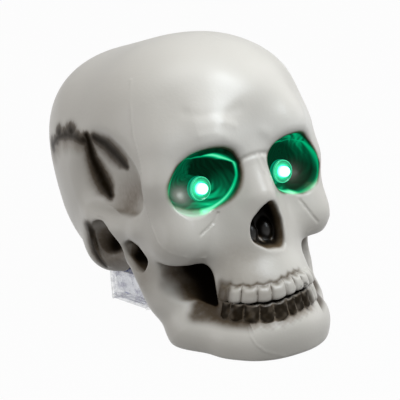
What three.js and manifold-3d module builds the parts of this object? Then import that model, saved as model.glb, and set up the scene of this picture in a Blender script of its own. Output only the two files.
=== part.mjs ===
// Light-up skull ornament standing on its jaw and on a clear two-cell battery box.
// Millimetres, +Z up, floor at z 0, face towards -Y, the skull's own left side towards +X.
import * as THREE from "three";
import { mergeVertices } from "three/addons/utils/BufferGeometryUtils.js";
import Module from "manifold-3d";

const wasm = await Module();
wasm.setup();

// Driving dimensions
const GAP = 0.3;
const WALL = 2.0;
const SHIFT_Y = 0.3;
const CORE = [0, -8, 58];
const FAR = 130;
const OUTER_DETAIL = 12;
const INNER_DETAIL = 6;

// Eye sockets, lamp tips and lamp axis
const SOCKET = { x: 24.8, y: -48.2, z: 76.8, r: 15.3, swell: 1.9, turn: -28, depth: 12.5, lean: 0.2, aside: -0.6 };
const LAMP_TIP = [23.6, -45, 72.4];
const LAMP_AXIS = new THREE.Vector3(0, -0.985, 0.1725);
const LAMP_R = 2.5;
const LAMP_LEN = 8.6;
const HOLDER_R = 5.5;
const FLANGE = { r: 2.95, h: 1.1 };
const SLEEVE = { r: 2.6, top: -LAMP_LEN - GAP, low: -LAMP_LEN - GAP - 10.1 };

// Battery box, in its own frame: origin at the middle of its top face, z down into the box
const BOX = { lx: 69, ly: 34, h: 19.53, pitch: 8.36, y: 7.0, wall: 1.6, end: 1.4, sunk: 3.5 };
const POCKET_GAP = 0.6;
const SHEET = 0.5;
const PARTITION = 1.2;
const END_ROOM = 6.0;
const SPRING_ROOM = 6.6;
const CELL_GAP = 0.6;
const LID_T = 1.4;
const LID_RAISE = 0.83;
const SWITCH_TRAVEL = 3;

// Inside of the box: half length and half depth, lid, partition, contacts and cells
const inX = BOX.lx / 2 - BOX.end;
const inY = BOX.ly / 2 - BOX.wall;
const LID_Z = [-BOX.h + LID_RAISE, -BOX.h + LID_RAISE + LID_T];
const PART_X = [inX - END_ROOM - PARTITION, inX - END_ROOM];
const BRIDGE_X = -inX + 0.4;
const CONTACT_X = PART_X[0] - GAP - SHEET;
const CELL_Z = (LID_Z[1] - BOX.wall) / 2 + 0.15;
const CELL_R = Math.min(inY / 2 - CELL_GAP, -BOX.wall - CELL_Z - CELL_GAP);
const CELL_Y = inY - CELL_R - 0.4;
const CELL_LEN = CONTACT_X - 0.2 - (BRIDGE_X + SHEET + SPRING_ROOM);
const GROMMET_X = inX - END_ROOM / 2 - 0.1;

// Underside of the skull along its length: flat jaw, rising rear of the jaw, seat of the box
const UNDER = { jaw: -42, rise: 0.867, seat: 21.1, slope: 0.147 };

const { abs, sqrt, hypot, min, max, cos, sin, PI } = Math;
const rad = (deg) => (deg * PI) / 180;
const clamp = (v, a, b) => min(b, max(a, v));

// Blended form of the skull: distance to joined ellipsoids, rounded boxes and tapered rods
function smin(a, b, k) {
  const h = clamp(0.5 + (0.5 * (b - a)) / k, 0, 1);
  return b + (a - b) * h - k * h * (1 - h);
}

function smax(a, b, k) {
  return -smin(-a, -b, k);
}

function step(low, high, v) {
  const t = clamp((v - low) / (high - low), 0, 1);
  return t * t * (3 - 2 * t);
}

function turn(y, z, deg) {
  const c = cos(rad(deg));
  const s = sin(rad(deg));
  return [c * y + s * z, -s * y + c * z];
}

function ell(x, y, z, c, r, tilt = 0, n = 2) {
  const [v, w] = turn(y - c[1], z - c[2], tilt);
  const X = abs(x - c[0]) / r[0] + 1e-6;
  const Y = abs(v) / r[1] + 1e-6;
  const Z = abs(w) / r[2] + 1e-6;
  const f = (X ** n + Y ** n + Z ** n) ** (1 / n);
  const g = f ** (1 - n) * hypot(X ** (n - 1) / r[0], Y ** (n - 1) / r[1], Z ** (n - 1) / r[2]);
  return (f - 1) / (g + 1e-9);
}

function block(x, y, z, c, h, r, tilt) {
  const [v, w] = turn(y - c[1], z - c[2], tilt);
  const a = abs(x - c[0]) - h[0] + r;
  const b = abs(v) - h[1] + r;
  const d = abs(w) - h[2] + r;
  return hypot(max(a, 0), max(b, 0), max(d, 0)) + min(max(a, b, d), 0) - r;
}

function rod(x, y, z, a, b) {
  const d = [b[0] - a[0], b[1] - a[1], b[2] - a[2]];
  const len = d[0] * d[0] + d[1] * d[1] + d[2] * d[2];
  const dot = (x - a[0]) * d[0] + (y - a[1]) * d[1] + (z - a[2]) * d[2];
  const t = clamp(dot / len, 0, 1);
  const q = hypot(x - a[0] - t * d[0], y - a[1] - t * d[1], z - a[2] - t * d[2]);
  return q - (a[3] + (b[3] - a[3]) * t);
}

function chain(x, y, z, pts, k) {
  let d = rod(x, y, z, pts[0], pts[1]);
  for (let i = 1; i < pts.length - 1; i++) {
    d = smin(d, rod(x, y, z, pts[i], pts[i + 1]), k);
  }
  return d;
}

const BROW = [
  [0, -34.4, 91.9, 5.8],
  [21.4, -40.4, 94.6, 9.4],
  [33.3, -31.0, 88.3, 7.0],
  [38.8, -34.2, 74.5, 7.3],
];
const CHEEK = [
  [22.0, -41.8, 49.8, 8.6],
  [35.4, -41.6, 49.7, 10.0],
  [42.6, -25.7, 53.0, 6.2],
  [46.8, -8.1, 51.6, 5.2],
  [45.6, 8.0, 51.4, 5.4],
];
const JAW = [
  [21.5, -61.4, 5.7, 12.1],
  [30.4, -45.4, 7.7, 10.8],
  [34.6, -32.3, 21.1, 9.3],
  [40.5, -9.5, 39.2, 7.3],
];

// Hollow of the temple, with a crisp front and lower edge
function templeForm(x, y, z) {
  const bowl = ell(x, y, z, [56.5, -11, 69], [13.2, 27, 23]);
  const front = -34.6 + 0.004 * (z - 74) ** 2 - y;
  const below = 57.4 + 0.02 * max(-16 - y, 0) ** 2 - z;
  return smax(bowl, smax(front, below, 8), 2);
}

// Scooped hollow behind the upper jaw: crisp above and in front, fading behind and below
const CHEEK_YAW = 40;
const CHEEK_OUT = 74;
const outward = (x, y) => cos(rad(CHEEK_YAW)) * x - sin(rad(CHEEK_YAW)) * y;
const backward = (x, y) => sin(rad(CHEEK_YAW)) * x + cos(rad(CHEEK_YAW)) * y;
function cheekForm(x, y, z) {
  const back = backward(x, y);
  const above = z - 40.8 + 0.06 * abs(back + 14);
  const front = -25.2 - 0.26 * (34 - z) - back;
  const behind = max(back + 24, 0);
  const below = max(30 - z, 0);
  const floor = 44 + 0.026 * behind ** 2 + 0.16 * below ** 2;
  const steep = hypot(1, 0.052 * behind, 0.32 * below);
  return smax(smax(above, front, 8), (floor - outward(x, y)) / steep, 3);
}

// Hollows behind the jaw and under the cheek's arch
function earForm(x, y, z) {
  return ell(x, y, z, [52, -1, 34], [12, 13.5, 16.5], -8);
}

function archForm(x, y, z) {
  const wedge = smax(z - 45.8 + 0.55 * abs(y + 19), -31 - 0.5 * (z - 36) - y, 2);
  return smax(ell(x, y, z, [48.5, -22.5, 39], [9, 9, 6.5], 20), wedge, 2);
}

function skullForm(px, y, z) {
  const x = abs(px);
  let d = ell(x, y, z, [0, 20.1, 63.8], [52.5, 64.8, 60.9], -22);
  d = smin(d, ell(sqrt(x * x + 16), y, z, [17.7, 35.3, 85.2], [29.4, 38.7, 29.8]), 20);
  d = smin(d, ell(x, y, z, [0, -10.6, 90.6], [48.8, 33.6, 40.9], 0, 2.3), 26);
  d = smin(d, block(x, y, z, [0, -19.8, 69.6], [42.6, 22.8, 29.2], 20, -17), 12);
  d = smin(d, ell(x, y, z, [0, -22, 109], [31, 24, 17]), 9);
  d = smin(d, chain(sqrt(x * x + 20), y, z, BROW, 10), 14);
  d = smin(d, chain(x, y, z, CHEEK, 8), 10);
  d = smin(d, rod(x, y, z, BROW[3], CHEEK[1]), 10);
  d = smin(d, ell(x, y, z, [0, -44.9, 35.2], [26.9, 18.7, 20.7], 0, 2.2), 10);
  d = smin(d, ell(x, y, z, [0, -44.9, 56.3], [15, 15.3, 19.5], -14), 10);
  d = smin(d, rod(x, y, z, [0, -40.9, 86.8, 4.0], [0, -54.3, 67.8, 5.1]), 9);
  const chin = ell(x, y, z, [0, -70.2, 4.9], [23.6, 14.7, 14.3], 0, 2.4);
  d = smin(d, smin(chin, chain(x, y, z, JAW, 8), 12), 8);
  d = smin(d, rod(x, y, z, [34.6, -32.3, 21.1, 8.6], [39, -30.5, 40, 6.6]), 8);
  d = smin(d, ell(x, y, z, [0, -33.3, 23.1], [30.6, 39.3, 23.4]), 8);
  d = smin(d, rod(x, y, z, [38.9, 14, 42, 8.9], [36.2, 16.9, 29.7, 10.7]), 10);
  d = smin(d, ell(x, y, z, [0, -54, 22], [23.6, 19.5, 16], 0, 2.6), 9);
  d = smax(d, -ell(x, y, z, [61, -10, 70], [14, 20, 21]), 10);
  return smax(d, -templeForm(x, y, z), 1.6 + 8 * step(-24, 4, y));
}

// Distance out from a core, along a direction, to where a form passes through zero
function reach(form, core, n, far) {
  let t = far;
  for (let i = 0; i < 160; i++) {
    const d = form(core[0] + n.x * t, core[1] + n.y * t, core[2] + n.z * t);
    if (d < 0.004) break;
    t -= d * 0.72;
  }
  return t;
}

// Solids
function solid(geometry) {
  const g = geometry.clone();
  g.deleteAttribute("normal");
  g.deleteAttribute("uv");
  const m = mergeVertices(g, 1e-4);
  const tri = [];
  const idx = m.index.array;
  for (let i = 0; i < idx.length; i += 3) {
    const [a, b, c] = [idx[i], idx[i + 1], idx[i + 2]];
    if (a !== b && b !== c && a !== c) tri.push(a, b, c);
  }
  const vertProperties = Float32Array.from(m.attributes.position.array);
  const make = (t) =>
    new wasm.Manifold(new wasm.Mesh({ numProp: 3, vertProperties, triVerts: Uint32Array.from(t) }));
  const made = make(tri);
  if (made.volume() > 0) return made;
  for (let i = 0; i < tri.length; i += 3) [tri[i], tri[i + 1]] = [tri[i + 1], tri[i]];
  return make(tri);
}

function shapeOf(s) {
  const m = s.getMesh();
  const n = m.numProp;
  const v = new Float32Array(m.numVert * 3);
  for (let i = 0; i < m.numVert; i++) v.set(m.vertProperties.subarray(i * n, i * n + 3), i * 3);
  const g = new THREE.BufferGeometry();
  g.setAttribute("position", new THREE.BufferAttribute(v, 3));
  g.setIndex(new THREE.BufferAttribute(Uint32Array.from(m.triVerts), 1));
  return g;
}

function joined(list) {
  return list.reduce((a, b) => a.add(b));
}

function mirrored(g) {
  return g.clone().scale(-1, 1, 1);
}

function pair(g) {
  return solid(g).add(solid(mirrored(g)));
}

function box(x0, x1, y0, y1, z0, z1) {
  const g = new THREE.BoxGeometry(x1 - x0, y1 - y0, z1 - z0);
  return g.translate((x0 + x1) / 2, (y0 + y1) / 2, (z0 + z1) / 2);
}

function lathe(profile, segments) {
  const pts = profile.map((p) => new THREE.Vector2(p[0], p[1]));
  return new THREE.LatheGeometry(pts, segments);
}

function ball(c, r, yaw = 0, across = 14, down = 9) {
  const g = new THREE.SphereGeometry(1, across, down);
  g.scale(r[0], r[1], r[2]);
  g.rotateZ(rad(yaw));
  return g.translate(c[0], c[1], c[2]);
}

const group = new THREE.Group();
group.name = "skull_decoration";

function add(name, shape, color, look = {}) {
  const geometry = shape.isBufferGeometry ? shapeOf(solid(shape)) : shapeOf(shape);
  const material = new THREE.MeshStandardMaterial({ color, roughness: 0.5, ...look });
  const mesh = new THREE.Mesh(geometry, material);
  mesh.name = name;
  group.add(mesh);
  return mesh;
}

// A sphere whose points are moved, in line with a core inside, onto a form
function formBall(form, core, detail, far) {
  const g = new THREE.IcosahedronGeometry(1, detail);
  const p = g.attributes.position;
  const n = new THREE.Vector3();
  const seen = new Map();
  for (let i = 0; i < p.count; i++) {
    n.fromBufferAttribute(p, i).normalize();
    const key = [n.x, n.y, n.z].map((v) => v.toFixed(5)).join();
    if (!seen.has(key)) seen.set(key, reach(form, core, n, far));
    const t = seen.get(key);
    p.setXYZ(i, core[0] + n.x * t, core[1] + n.y * t, core[2] + n.z * t);
  }
  return g;
}

function skullBall(detail, sink) {
  return solid(formBall((x, y, z) => skullForm(x, y, z) + sink, CORE, detail, FAR));
}

// Space under the skull, as a long prism
function underSpace(lift) {
  const seatAt = (y) => UNDER.seat - UNDER.slope * (y + 10);
  const yMeet = (UNDER.seat - UNDER.slope * 10 + UNDER.rise * UNDER.jaw) / (UNDER.rise + UNDER.slope);
  const shape = new THREE.Shape();
  shape.moveTo(-140, -60);
  shape.lineTo(140, -60);
  shape.lineTo(140, seatAt(140) + lift);
  shape.lineTo(yMeet, seatAt(yMeet) + lift);
  shape.lineTo(UNDER.jaw, lift);
  shape.lineTo(-140, lift);
  shape.closePath();
  const g = new THREE.ExtrudeGeometry(shape, { depth: 240, bevelEnabled: false });
  g.rotateY(PI / 2);
  g.rotateX(PI / 2);
  g.translate(-120, 0, 0);
  return solid(g);
}

function socketSpace(grow) {
  const steps = grow ? 4 : 6;
  const profile = [];
  for (let i = 0; i <= steps; i++) {
    const a = (i / steps) * (PI / 2);
    profile.push([sin(a), cos(a)]);
  }
  profile.push([1.12, -1.4], [0, -1.4]);
  const g = lathe(profile, grow ? 14 : 22);
  const p = g.attributes.position;
  for (let i = 0; i < p.count; i++) {
    const th = Math.atan2(p.getZ(i), p.getX(i));
    const r = SOCKET.r + grow + SOCKET.swell * cos(2 * (th - rad(SOCKET.turn)));
    const u = p.getX(i) * r;
    const v = p.getZ(i) * r;
    const w = p.getY(i) * (SOCKET.depth + grow);
    p.setXYZ(i, SOCKET.x + u, SOCKET.y + w + SOCKET.lean * u, SOCKET.z + v);
  }
  return g;
}

// Nose opening: its outline across and up where the face lies, narrower towards its floor
const NOSE = { x: 1, z: 54, face: -60, floor: -49, taper: 0.02 };
const NOSE_RIM = [
  [10.6, 50],
  [9.2, 58.6],
  [4.4, 64.8],
  [1.8, 66.6],
  [-5, 61.4],
  [-8.8, 53.8],
  [-8.4, 49.2],
  [-3.8, 46.4],
  [3, 44.8],
  [8.6, 43.8],
];

function noseSpace(grow) {
  const pts = NOSE_RIM.map((q) => {
    const wider = 1 + grow / hypot(q[0] - NOSE.x, q[1] - NOSE.z);
    return new THREE.Vector2((q[0] - NOSE.x) * wider, (q[1] - NOSE.z) * wider);
  });
  const g = new THREE.ExtrudeGeometry(new THREE.Shape(pts), { depth: 40 + grow, bevelEnabled: false });
  g.rotateX(PI / 2);
  g.translate(0, NOSE.floor + grow, 0);
  const p = g.attributes.position;
  for (let i = 0; i < p.count; i++) {
    const k = 1 - NOSE.taper * (p.getY(i) - NOSE.face);
    p.setXYZ(i, NOSE.x + p.getX(i) * k, p.getY(i), NOSE.z + p.getZ(i) * k);
  }
  return solid(g);
}

function cheekSpace(grow) {
  const form = (x, y, z) => max(cheekForm(x, y, z) - grow, outward(x, y) - CHEEK_OUT);
  return pair(formBall(form, [36.7, -46.5, 31], grow ? 3 : 6, 70));
}

function sideSpace(grow) {
  const ear = formBall((x, y, z) => earForm(x, y, z) - grow, [52, -1, 34], grow ? 2 : 4, 40);
  const arch = formBall((x, y, z) => archForm(x, y, z) - grow, [48.5, -21.5, 39], grow ? 2 : 4, 40);
  return pair(ear).add(pair(arch));
}

function sockets(grow) {
  return pair(socketSpace(grow)).translate([SOCKET.aside, 0, 0]);
}

// Where the blended form lies, along Y, at one place of the mouth
function mouthFront(x, z) {
  let y = -110;
  for (let i = 0; i < 80; i++) {
    const d = skullForm(x, y, z);
    if (d < 0.01) break;
    y += d * 0.8;
  }
  return y;
}

function tooth(x0, x1, z0, z1, relief) {
  const xm = (x0 + x1) / 2;
  const zm = (z0 + z1) / 2;
  const depth = 3.4;
  const face = mouthFront(xm, zm);
  const yaw = Math.atan2(mouthFront(x1, zm) - mouthFront(x0, zm), x1 - x0);
  const lean = Math.atan2(mouthFront(xm, z1) - mouthFront(xm, z0), z1 - z0);
  const g = new THREE.SphereGeometry(1, 9, 5);
  const p = g.attributes.position;
  const soft = (v) => Math.sign(v) * abs(v) ** 0.62;
  const wide = hypot(x1 - x0, mouthFront(x1, zm) - mouthFront(x0, zm)) / 2;
  for (let i = 0; i < p.count; i++) {
    p.setXYZ(i, soft(p.getX(i)) * wide, soft(p.getZ(i)) * depth, (soft(p.getY(i)) * (z1 - z0)) / 2);
  }
  g.rotateX(-lean);
  g.rotateZ(yaw);
  return g.translate(xm, face + depth - relief, zm);
}

const TEETH_X = [0, 6.8, 12.6, 19.4, 23.6];
const teeth = [];
for (let i = 0; i < 4; i++) {
  teeth.push(pair(tooth(TEETH_X[i] + 0.1, TEETH_X[i + 1] - 0.1, 23.7, 31.4 - i * 0.5, 1.8)));
  teeth.push(pair(tooth(TEETH_X[i] + 0.1, TEETH_X[i + 1] - 0.1, 16.6 + i * 0.4, 23.1, 1.2)));
}

// Lamp frame: origin at the tip of the lamp, local Y along the lamp's axis
function lampPlace(side) {
  const along = LAMP_AXIS.clone().normalize();
  const q = new THREE.Quaternion().setFromUnitVectors(new THREE.Vector3(0, 1, 0), along);
  const at = new THREE.Vector3(LAMP_TIP[0] * side, LAMP_TIP[1], LAMP_TIP[2]);
  return new THREE.Matrix4().compose(at, q, new THREE.Vector3(1, 1, 1));
}

// Box frame
const boxPlace = new THREE.Matrix4()
  .makeRotationX(-rad(BOX.pitch))
  .setPosition(0, BOX.y, UNDER.seat - UNDER.slope * (BOX.y + 10) + BOX.sunk - GAP / cos(rad(BOX.pitch)));
const inBox = (g) => g.clone().applyMatrix4(boxPlace);
const boxPoint = (x, y, z) => new THREE.Vector3(x, y, z).applyMatrix4(boxPlace);

const SCREW_X = [-15, 12];

function rod2(r, z0, z1, x, y, segments = 14) {
  const g = new THREE.CylinderGeometry(r, r, z1 - z0, segments);
  g.rotateX(PI / 2);
  return g.translate(x, y, (z0 + z1) / 2);
}

function skullShell() {
  let outer = skullBall(OUTER_DETAIL, 0).add(joined(teeth));
  let inner = skullBall(INNER_DETAIL, WALL);
  const pocket = (g) => {
    const px = BOX.lx / 2 + POCKET_GAP + g;
    const py = BOX.ly / 2 + POCKET_GAP + g;
    return box(-px, px, -py, py, -30, GAP + g);
  };
  outer = outer.subtract(underSpace(0)).subtract(sockets(0)).subtract(noseSpace(0));
  outer = outer.subtract(cheekSpace(0)).subtract(sideSpace(0)).subtract(solid(inBox(pocket(0))));
  inner = inner.subtract(underSpace(WALL)).subtract(sockets(WALL)).subtract(noseSpace(WALL));
  inner = inner.subtract(cheekSpace(WALL)).subtract(sideSpace(WALL)).subtract(solid(inBox(pocket(WALL))));
  const hollows = inner.decompose().sort((a, b) => b.volume() - a.volume());
  let shell = outer.subtract(hollows[0]);
  for (const x of SCREW_X) {
    shell = shell.add(solid(inBox(rod2(3.6, 1.2, 9, x, 0, 12))));
    shell = shell.subtract(solid(inBox(rod2(1.6, -2, 8, x, 0, 10))));
  }
  shell = shell.subtract(solid(inBox(rod2(2.9, -2, 8, GROMMET_X, 0, 14))));
  for (const side of [-1, 1]) {
    const at = lampPlace(side);
    const seat = lathe([[0, -10.4], [7, -10.4], [7, -7.2], [0, -7.2]], 18).applyMatrix4(at);
    const room = lathe([[0, -6.9], [6.2, -6.9], [6.2, 1], [0, 1]], 18).applyMatrix4(at);
    const hole = lathe([[0, -16], [4.3, -16], [4.3, -5], [0, -5]], 18).applyMatrix4(at);
    shell = shell.add(solid(seat)).subtract(solid(room)).subtract(solid(hole));
  }
  return shell;
}
add("skull_shell", skullShell(), 0xc8c4ba);

// Lamps, their clear ring holders and the sleeves behind them
for (const [side, tag] of [
  [-1, "right"],
  [1, "left"],
]) {
  const at = lampPlace(side);
  const holder = [
    [2.8, -3.6],
    [3.9, -3.6],
    [HOLDER_R, -5.0],
    [HOLDER_R, -6.9],
    [4.0, -6.9],
    [4.0, -13.2],
    [3.3, -13.2],
    [3.3, FLANGE.h - LAMP_LEN + 0.5],
    [2.8, FLANGE.h - LAMP_LEN + 0.5],
    [2.8, -3.6],
  ];
  add("led_holder_" + tag, lathe(holder, 14).applyMatrix4(at), 0xdfe6e2, { transparent: true, opacity: 0.5 });
  const step = FLANGE.h - LAMP_LEN;
  const lamp = [[0, -LAMP_LEN], [FLANGE.r, -LAMP_LEN], [FLANGE.r, step], [LAMP_R, step], [LAMP_R, -LAMP_R]];
  for (let i = 1; i < 5; i++) {
    const a = (i / 5) * (PI / 2);
    lamp.push([LAMP_R * cos(a), -LAMP_R + LAMP_R * sin(a)]);
  }
  lamp.push([0, 0]);
  add("led_" + tag, lathe(lamp, 14).applyMatrix4(at), 0x35d58a, { emissive: 0x18c070 });
  const sleeve = [
    [0, SLEEVE.low],
    [SLEEVE.r - 0.4, SLEEVE.low],
    [SLEEVE.r, SLEEVE.low + 1],
    [SLEEVE.r, SLEEVE.top - 0.5],
    [SLEEVE.r - 0.4, SLEEVE.top],
    [0, SLEEVE.top],
  ];
  add("led_sleeve_" + tag, lathe(sleeve, 12).applyMatrix4(at), 0x161616);
}

// Wires
function wire(points, r, steps) {
  const shape = new THREE.Shape();
  for (let i = 0; i < 8; i++) {
    const a = (i / 8) * 2 * PI;
    if (i === 0) shape.moveTo(r * cos(a), r * sin(a));
    else shape.lineTo(r * cos(a), r * sin(a));
  }
  shape.closePath();
  const path = new THREE.CatmullRomCurve3(points, false, "centripetal");
  return new THREE.ExtrudeGeometry(shape, { extrudePath: path, steps, bevelEnabled: false });
}

const WIRE_R = 0.5;
for (const [side, tag] of [
  [-1, "right"],
  [1, "left"],
]) {
  for (const [s, hue, color] of [
    [1, "red", 0xb01818],
    [-1, "black", 0x141414],
  ]) {
    const at = lampPlace(side);
    const start = (y) => new THREE.Vector3(0, y, 1.3 * s).applyMatrix4(at);
    const gx = GROMMET_X + 0.75 * side;
    const gy = -0.75 * s;
    const mid =
      side < 0
        ? [
            [-21, -6, 62],
            [-4, 6, 50],
            [16, 8.5, 40],
            [27, 8, 33],
          ]
        : [
            [26.5, -8, 58],
            [29.5, 2, 46],
            [30.5, 6.6, 36],
          ];
    const pts = [start(SLEEVE.low - GAP), start(SLEEVE.low - 3)];
    mid.forEach((m, i) => {
      const t = (i + 1) / (mid.length + 1);
      pts.push(new THREE.Vector3(m[0], m[1] - 0.8 * s * t, m[2] - 1.2 * s * (1 - t)));
    });
    pts.push(boxPoint(gx, gy, 5), boxPoint(gx, gy, 0), boxPoint(gx, gy, -2.4));
    if (s > 0) pts.push(boxPoint(gx, -1.0, -4.6));
    else if (side < 0) pts.push(boxPoint(gx, CELL_Y - 4.5, -3.6), boxPoint(gx, CELL_Y - 1.1, -3.15));
    else {
      pts.push(boxPoint(gx, CELL_Y - 4.5, -3.6), boxPoint(gx - 0.05, CELL_Y - 1.3, -3.3));
      pts.push(boxPoint(gx - 1.25, CELL_Y + 0.8, -3.15));
    }
    add("wire_" + hue + "_" + tag, wire(pts, WIRE_R, 30), color);
  }
}

const grommet = [
  [1.95, -2.2],
  [2.6, -2.2],
  [2.6, 2.6],
  [3.8, 2.6],
  [3.8, 3.5],
  [1.95, 3.5],
  [1.95, -2.2],
];
const grommetShape = lathe(grommet, 14).rotateX(PI / 2).translate(GROMMET_X, 0, 0);
add("wire_grommet", inBox(grommetShape), 0x1b1b1b);

// Battery box
function plate(lx, ly, r, z0, z1, bevel = 0) {
  const s = new THREE.Shape();
  const [a, b] = [lx / 2 - bevel, ly / 2 - bevel];
  s.moveTo(-a + r, -b);
  s.lineTo(a - r, -b);
  s.quadraticCurveTo(a, -b, a, -b + r);
  s.lineTo(a, b - r);
  s.quadraticCurveTo(a, b, a - r, b);
  s.lineTo(-a + r, b);
  s.quadraticCurveTo(-a, b, -a, b - r);
  s.lineTo(-a, -b + r);
  s.quadraticCurveTo(-a, -b, -a + r, -b);
  const g = new THREE.ExtrudeGeometry(s, { depth: z1 - z0, bevelEnabled: false, curveSegments: 3 });
  return g.translate(0, 0, z0);
}

const SW = { y: -8, z: -10, knob: 2.6 };

function batteryCase() {
  let s = solid(plate(BOX.lx, BOX.ly, 2.4, -BOX.h, 0));
  s = s.subtract(solid(box(-inX, inX, -inY, inY, -30, -BOX.wall)));
  s = s.subtract(solid(box(-50, inX, -inY - 0.8, inY + 0.8, LID_Z[0] - GAP, LID_Z[1] + GAP)));
  s = s.subtract(solid(box(-50, 0, -inY, inY, -30, LID_Z[1] + GAP)));
  s = s.add(solid(box(PART_X[0], PART_X[1], -inY - 0.3, inY + 0.3, LID_Z[1] + 2 * GAP, -3.7)));
  for (const x of SCREW_X) s = s.subtract(solid(rod2(1.6, -3, 1, x, 0, 10)));
  s = s.subtract(solid(rod2(2.9, -3, 1, GROMMET_X, 0, 14)));
  const half = (SW.knob + SWITCH_TRAVEL) / 2 + GAP;
  return s.subtract(solid(box(inX - 1, 40, SW.y - half, SW.y + half, SW.z - 1.4, SW.z + 1.4)));
}
add("battery_case", shapeOf(batteryCase()).applyMatrix4(boxPlace), 0xe4ebee, {
  transparent: true,
  opacity: 0.4,
});

function batteryLid() {
  let s = solid(box(-BOX.lx / 2, inX - GAP, -inY - 0.5, inY + 0.5, LID_Z[0], LID_Z[1]));
  for (let i = 0; i < 3; i++) {
    const x = -BOX.lx / 2 + 4.5 + i * 2.4;
    s = s.add(solid(box(x, x + 1, -7, 7, LID_Z[0] - 0.7, LID_Z[0] + 0.2)));
  }
  return s;
}
add("battery_lid", shapeOf(batteryLid()).applyMatrix4(boxPlace), 0xe4ebee, {
  transparent: true,
  opacity: 0.4,
});

// Cells along X: the front one has its nub towards +X, the rear one towards -X
const cell = lathe(
  [
    [0, 0],
    [CELL_R - 1.5, 0],
    [CELL_R, 0.5],
    [CELL_R, CELL_LEN - 1.5],
    [CELL_R - 0.7, CELL_LEN - 1],
    [2.75, CELL_LEN - 1],
    [2.75, CELL_LEN],
    [0, CELL_LEN],
  ],
  20,
);
const cellFront = cell.clone().rotateZ(-PI / 2).translate(CONTACT_X - 0.2 - CELL_LEN, -CELL_Y, CELL_Z);
const cellRear = cell.clone().rotateZ(PI / 2).translate(BRIDGE_X + 2 * SHEET + CELL_LEN, CELL_Y, CELL_Z);
add("cell_front", inBox(cellFront), 0x2a4fb0);
add("cell_rear", inBox(cellRear), 0x2a4fb0);

// Contact springs: one unbroken cone-shaped coil each
function coil(r0, r1, length, turns, wireR) {
  const steps = 8 * turns;
  const pts = [];
  for (let i = 0; i <= steps; i++) {
    const t = i / steps;
    const a = t * turns * 2 * PI;
    const r = r0 + (r1 - r0) * t;
    pts.push(new THREE.Vector3(t * length, r * cos(a), r * sin(a)));
  }
  const ring = 5;
  const pos = [];
  const index = [];
  for (let i = 0; i <= steps; i++) {
    const along = pts[min(i + 1, steps)].clone().sub(pts[max(i - 1, 0)]).normalize();
    const out = new THREE.Vector3(0, pts[i].y, pts[i].z).normalize();
    const side = new THREE.Vector3().crossVectors(along, out).normalize();
    const up = new THREE.Vector3().crossVectors(side, along);
    for (let k = 0; k < ring; k++) {
      const a = (k / ring) * 2 * PI;
      const p = pts[i].clone().addScaledVector(up, wireR * cos(a)).addScaledVector(side, wireR * sin(a));
      pos.push(p.x, p.y, p.z);
    }
  }
  for (let i = 0; i < steps; i++) {
    for (let k = 0; k < ring; k++) {
      const a = i * ring + k;
      const b = i * ring + ((k + 1) % ring);
      index.push(a, b, a + ring, b, b + ring, a + ring);
    }
  }
  for (let k = 1; k < ring - 1; k++) {
    index.push(0, k + 1, k);
    const e = steps * ring;
    index.push(e, e + k, e + k + 1);
  }
  let least = Infinity;
  for (let i = 0; i <= steps; i++) {
    for (let j = i + 6; j <= steps; j++) least = min(least, pts[i].distanceTo(pts[j]) - 2 * wireR);
  }
  console.log("spring: least gap to itself " + least.toFixed(2) + " mm");
  const g = new THREE.BufferGeometry();
  g.setAttribute("position", new THREE.Float32BufferAttribute(pos, 3));
  g.setIndex(index);
  return g;
}
const SPRING = { r0: 5.2, r1: 3.4, length: 4.7, turns: 3, wire: 0.4 };
const spring = coil(SPRING.r0, SPRING.r1, SPRING.length, SPRING.turns, SPRING.wire);
const springFront = spring.clone().translate(BRIDGE_X + SHEET + 0.9, -CELL_Y, CELL_Z);
const springRear = spring.clone().rotateZ(PI).translate(CONTACT_X - 0.7, CELL_Y, CELL_Z);
add("spring_front", inBox(springFront), 0xb9bcbf, { metalness: 1 });
add("spring_rear", inBox(springRear), 0xb9bcbf, { metalness: 1 });

// End contacts
const metal = { metalness: 1, roughness: 0.35 };
const bridge = box(BRIDGE_X, BRIDGE_X + SHEET, -inY + 2.4, inY - 2.4, CELL_Z - 5.1, CELL_Z + 5.1);
add("contact_bridge", inBox(bridge), 0xb4b7ba, metal);
function endContact(y) {
  const leaf = solid(box(CONTACT_X, CONTACT_X + SHEET, y - 4.6, y + 4.6, CELL_Z - 5.1, -3.4 + SHEET));
  return leaf.add(solid(box(CONTACT_X, PART_X[1] + 1.3, y - 1.6, y + 1.6, -3.4, -3.4 + SHEET)));
}
add("contact_plus", shapeOf(endContact(-CELL_Y)).applyMatrix4(boxPlace), 0xb4b7ba, metal);
add("contact_minus", shapeOf(endContact(CELL_Y)).applyMatrix4(boxPlace), 0xb4b7ba, metal);

// Slide switch in the end compartment, stored switched on
function switchBody() {
  const half = (SW.knob + SWITCH_TRAVEL) / 2 + GAP;
  const s = solid(box(inX - 4.3, inX - GAP, SW.y - 4.5, SW.y + 4.5, SW.z - 2.3, SW.z + 2.3));
  return s.subtract(solid(box(inX - 2.2, inX + 1, SW.y - half, SW.y + half, SW.z - 1.4, SW.z + 1.4)));
}
add("switch_body", shapeOf(switchBody()).applyMatrix4(boxPlace), 0x24262a);
function switchSlider() {
  const y = SW.y + SWITCH_TRAVEL / 2;
  const tip = BOX.lx / 2 + 1.5;
  let s = solid(box(inX - 1.9, tip, y - SW.knob / 2, y + SW.knob / 2, SW.z - 1.1, SW.z + 1.1));
  for (const o of [-0.8, 0, 0.8]) {
    s = s.add(solid(box(tip - 0.2, tip + 0.3, y + o - 0.2, y + o + 0.2, SW.z - 1.1, SW.z + 1.1)));
  }
  return s;
}
add("switch_slider", shapeOf(switchSlider()).applyMatrix4(boxPlace), 0x101113);

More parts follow.
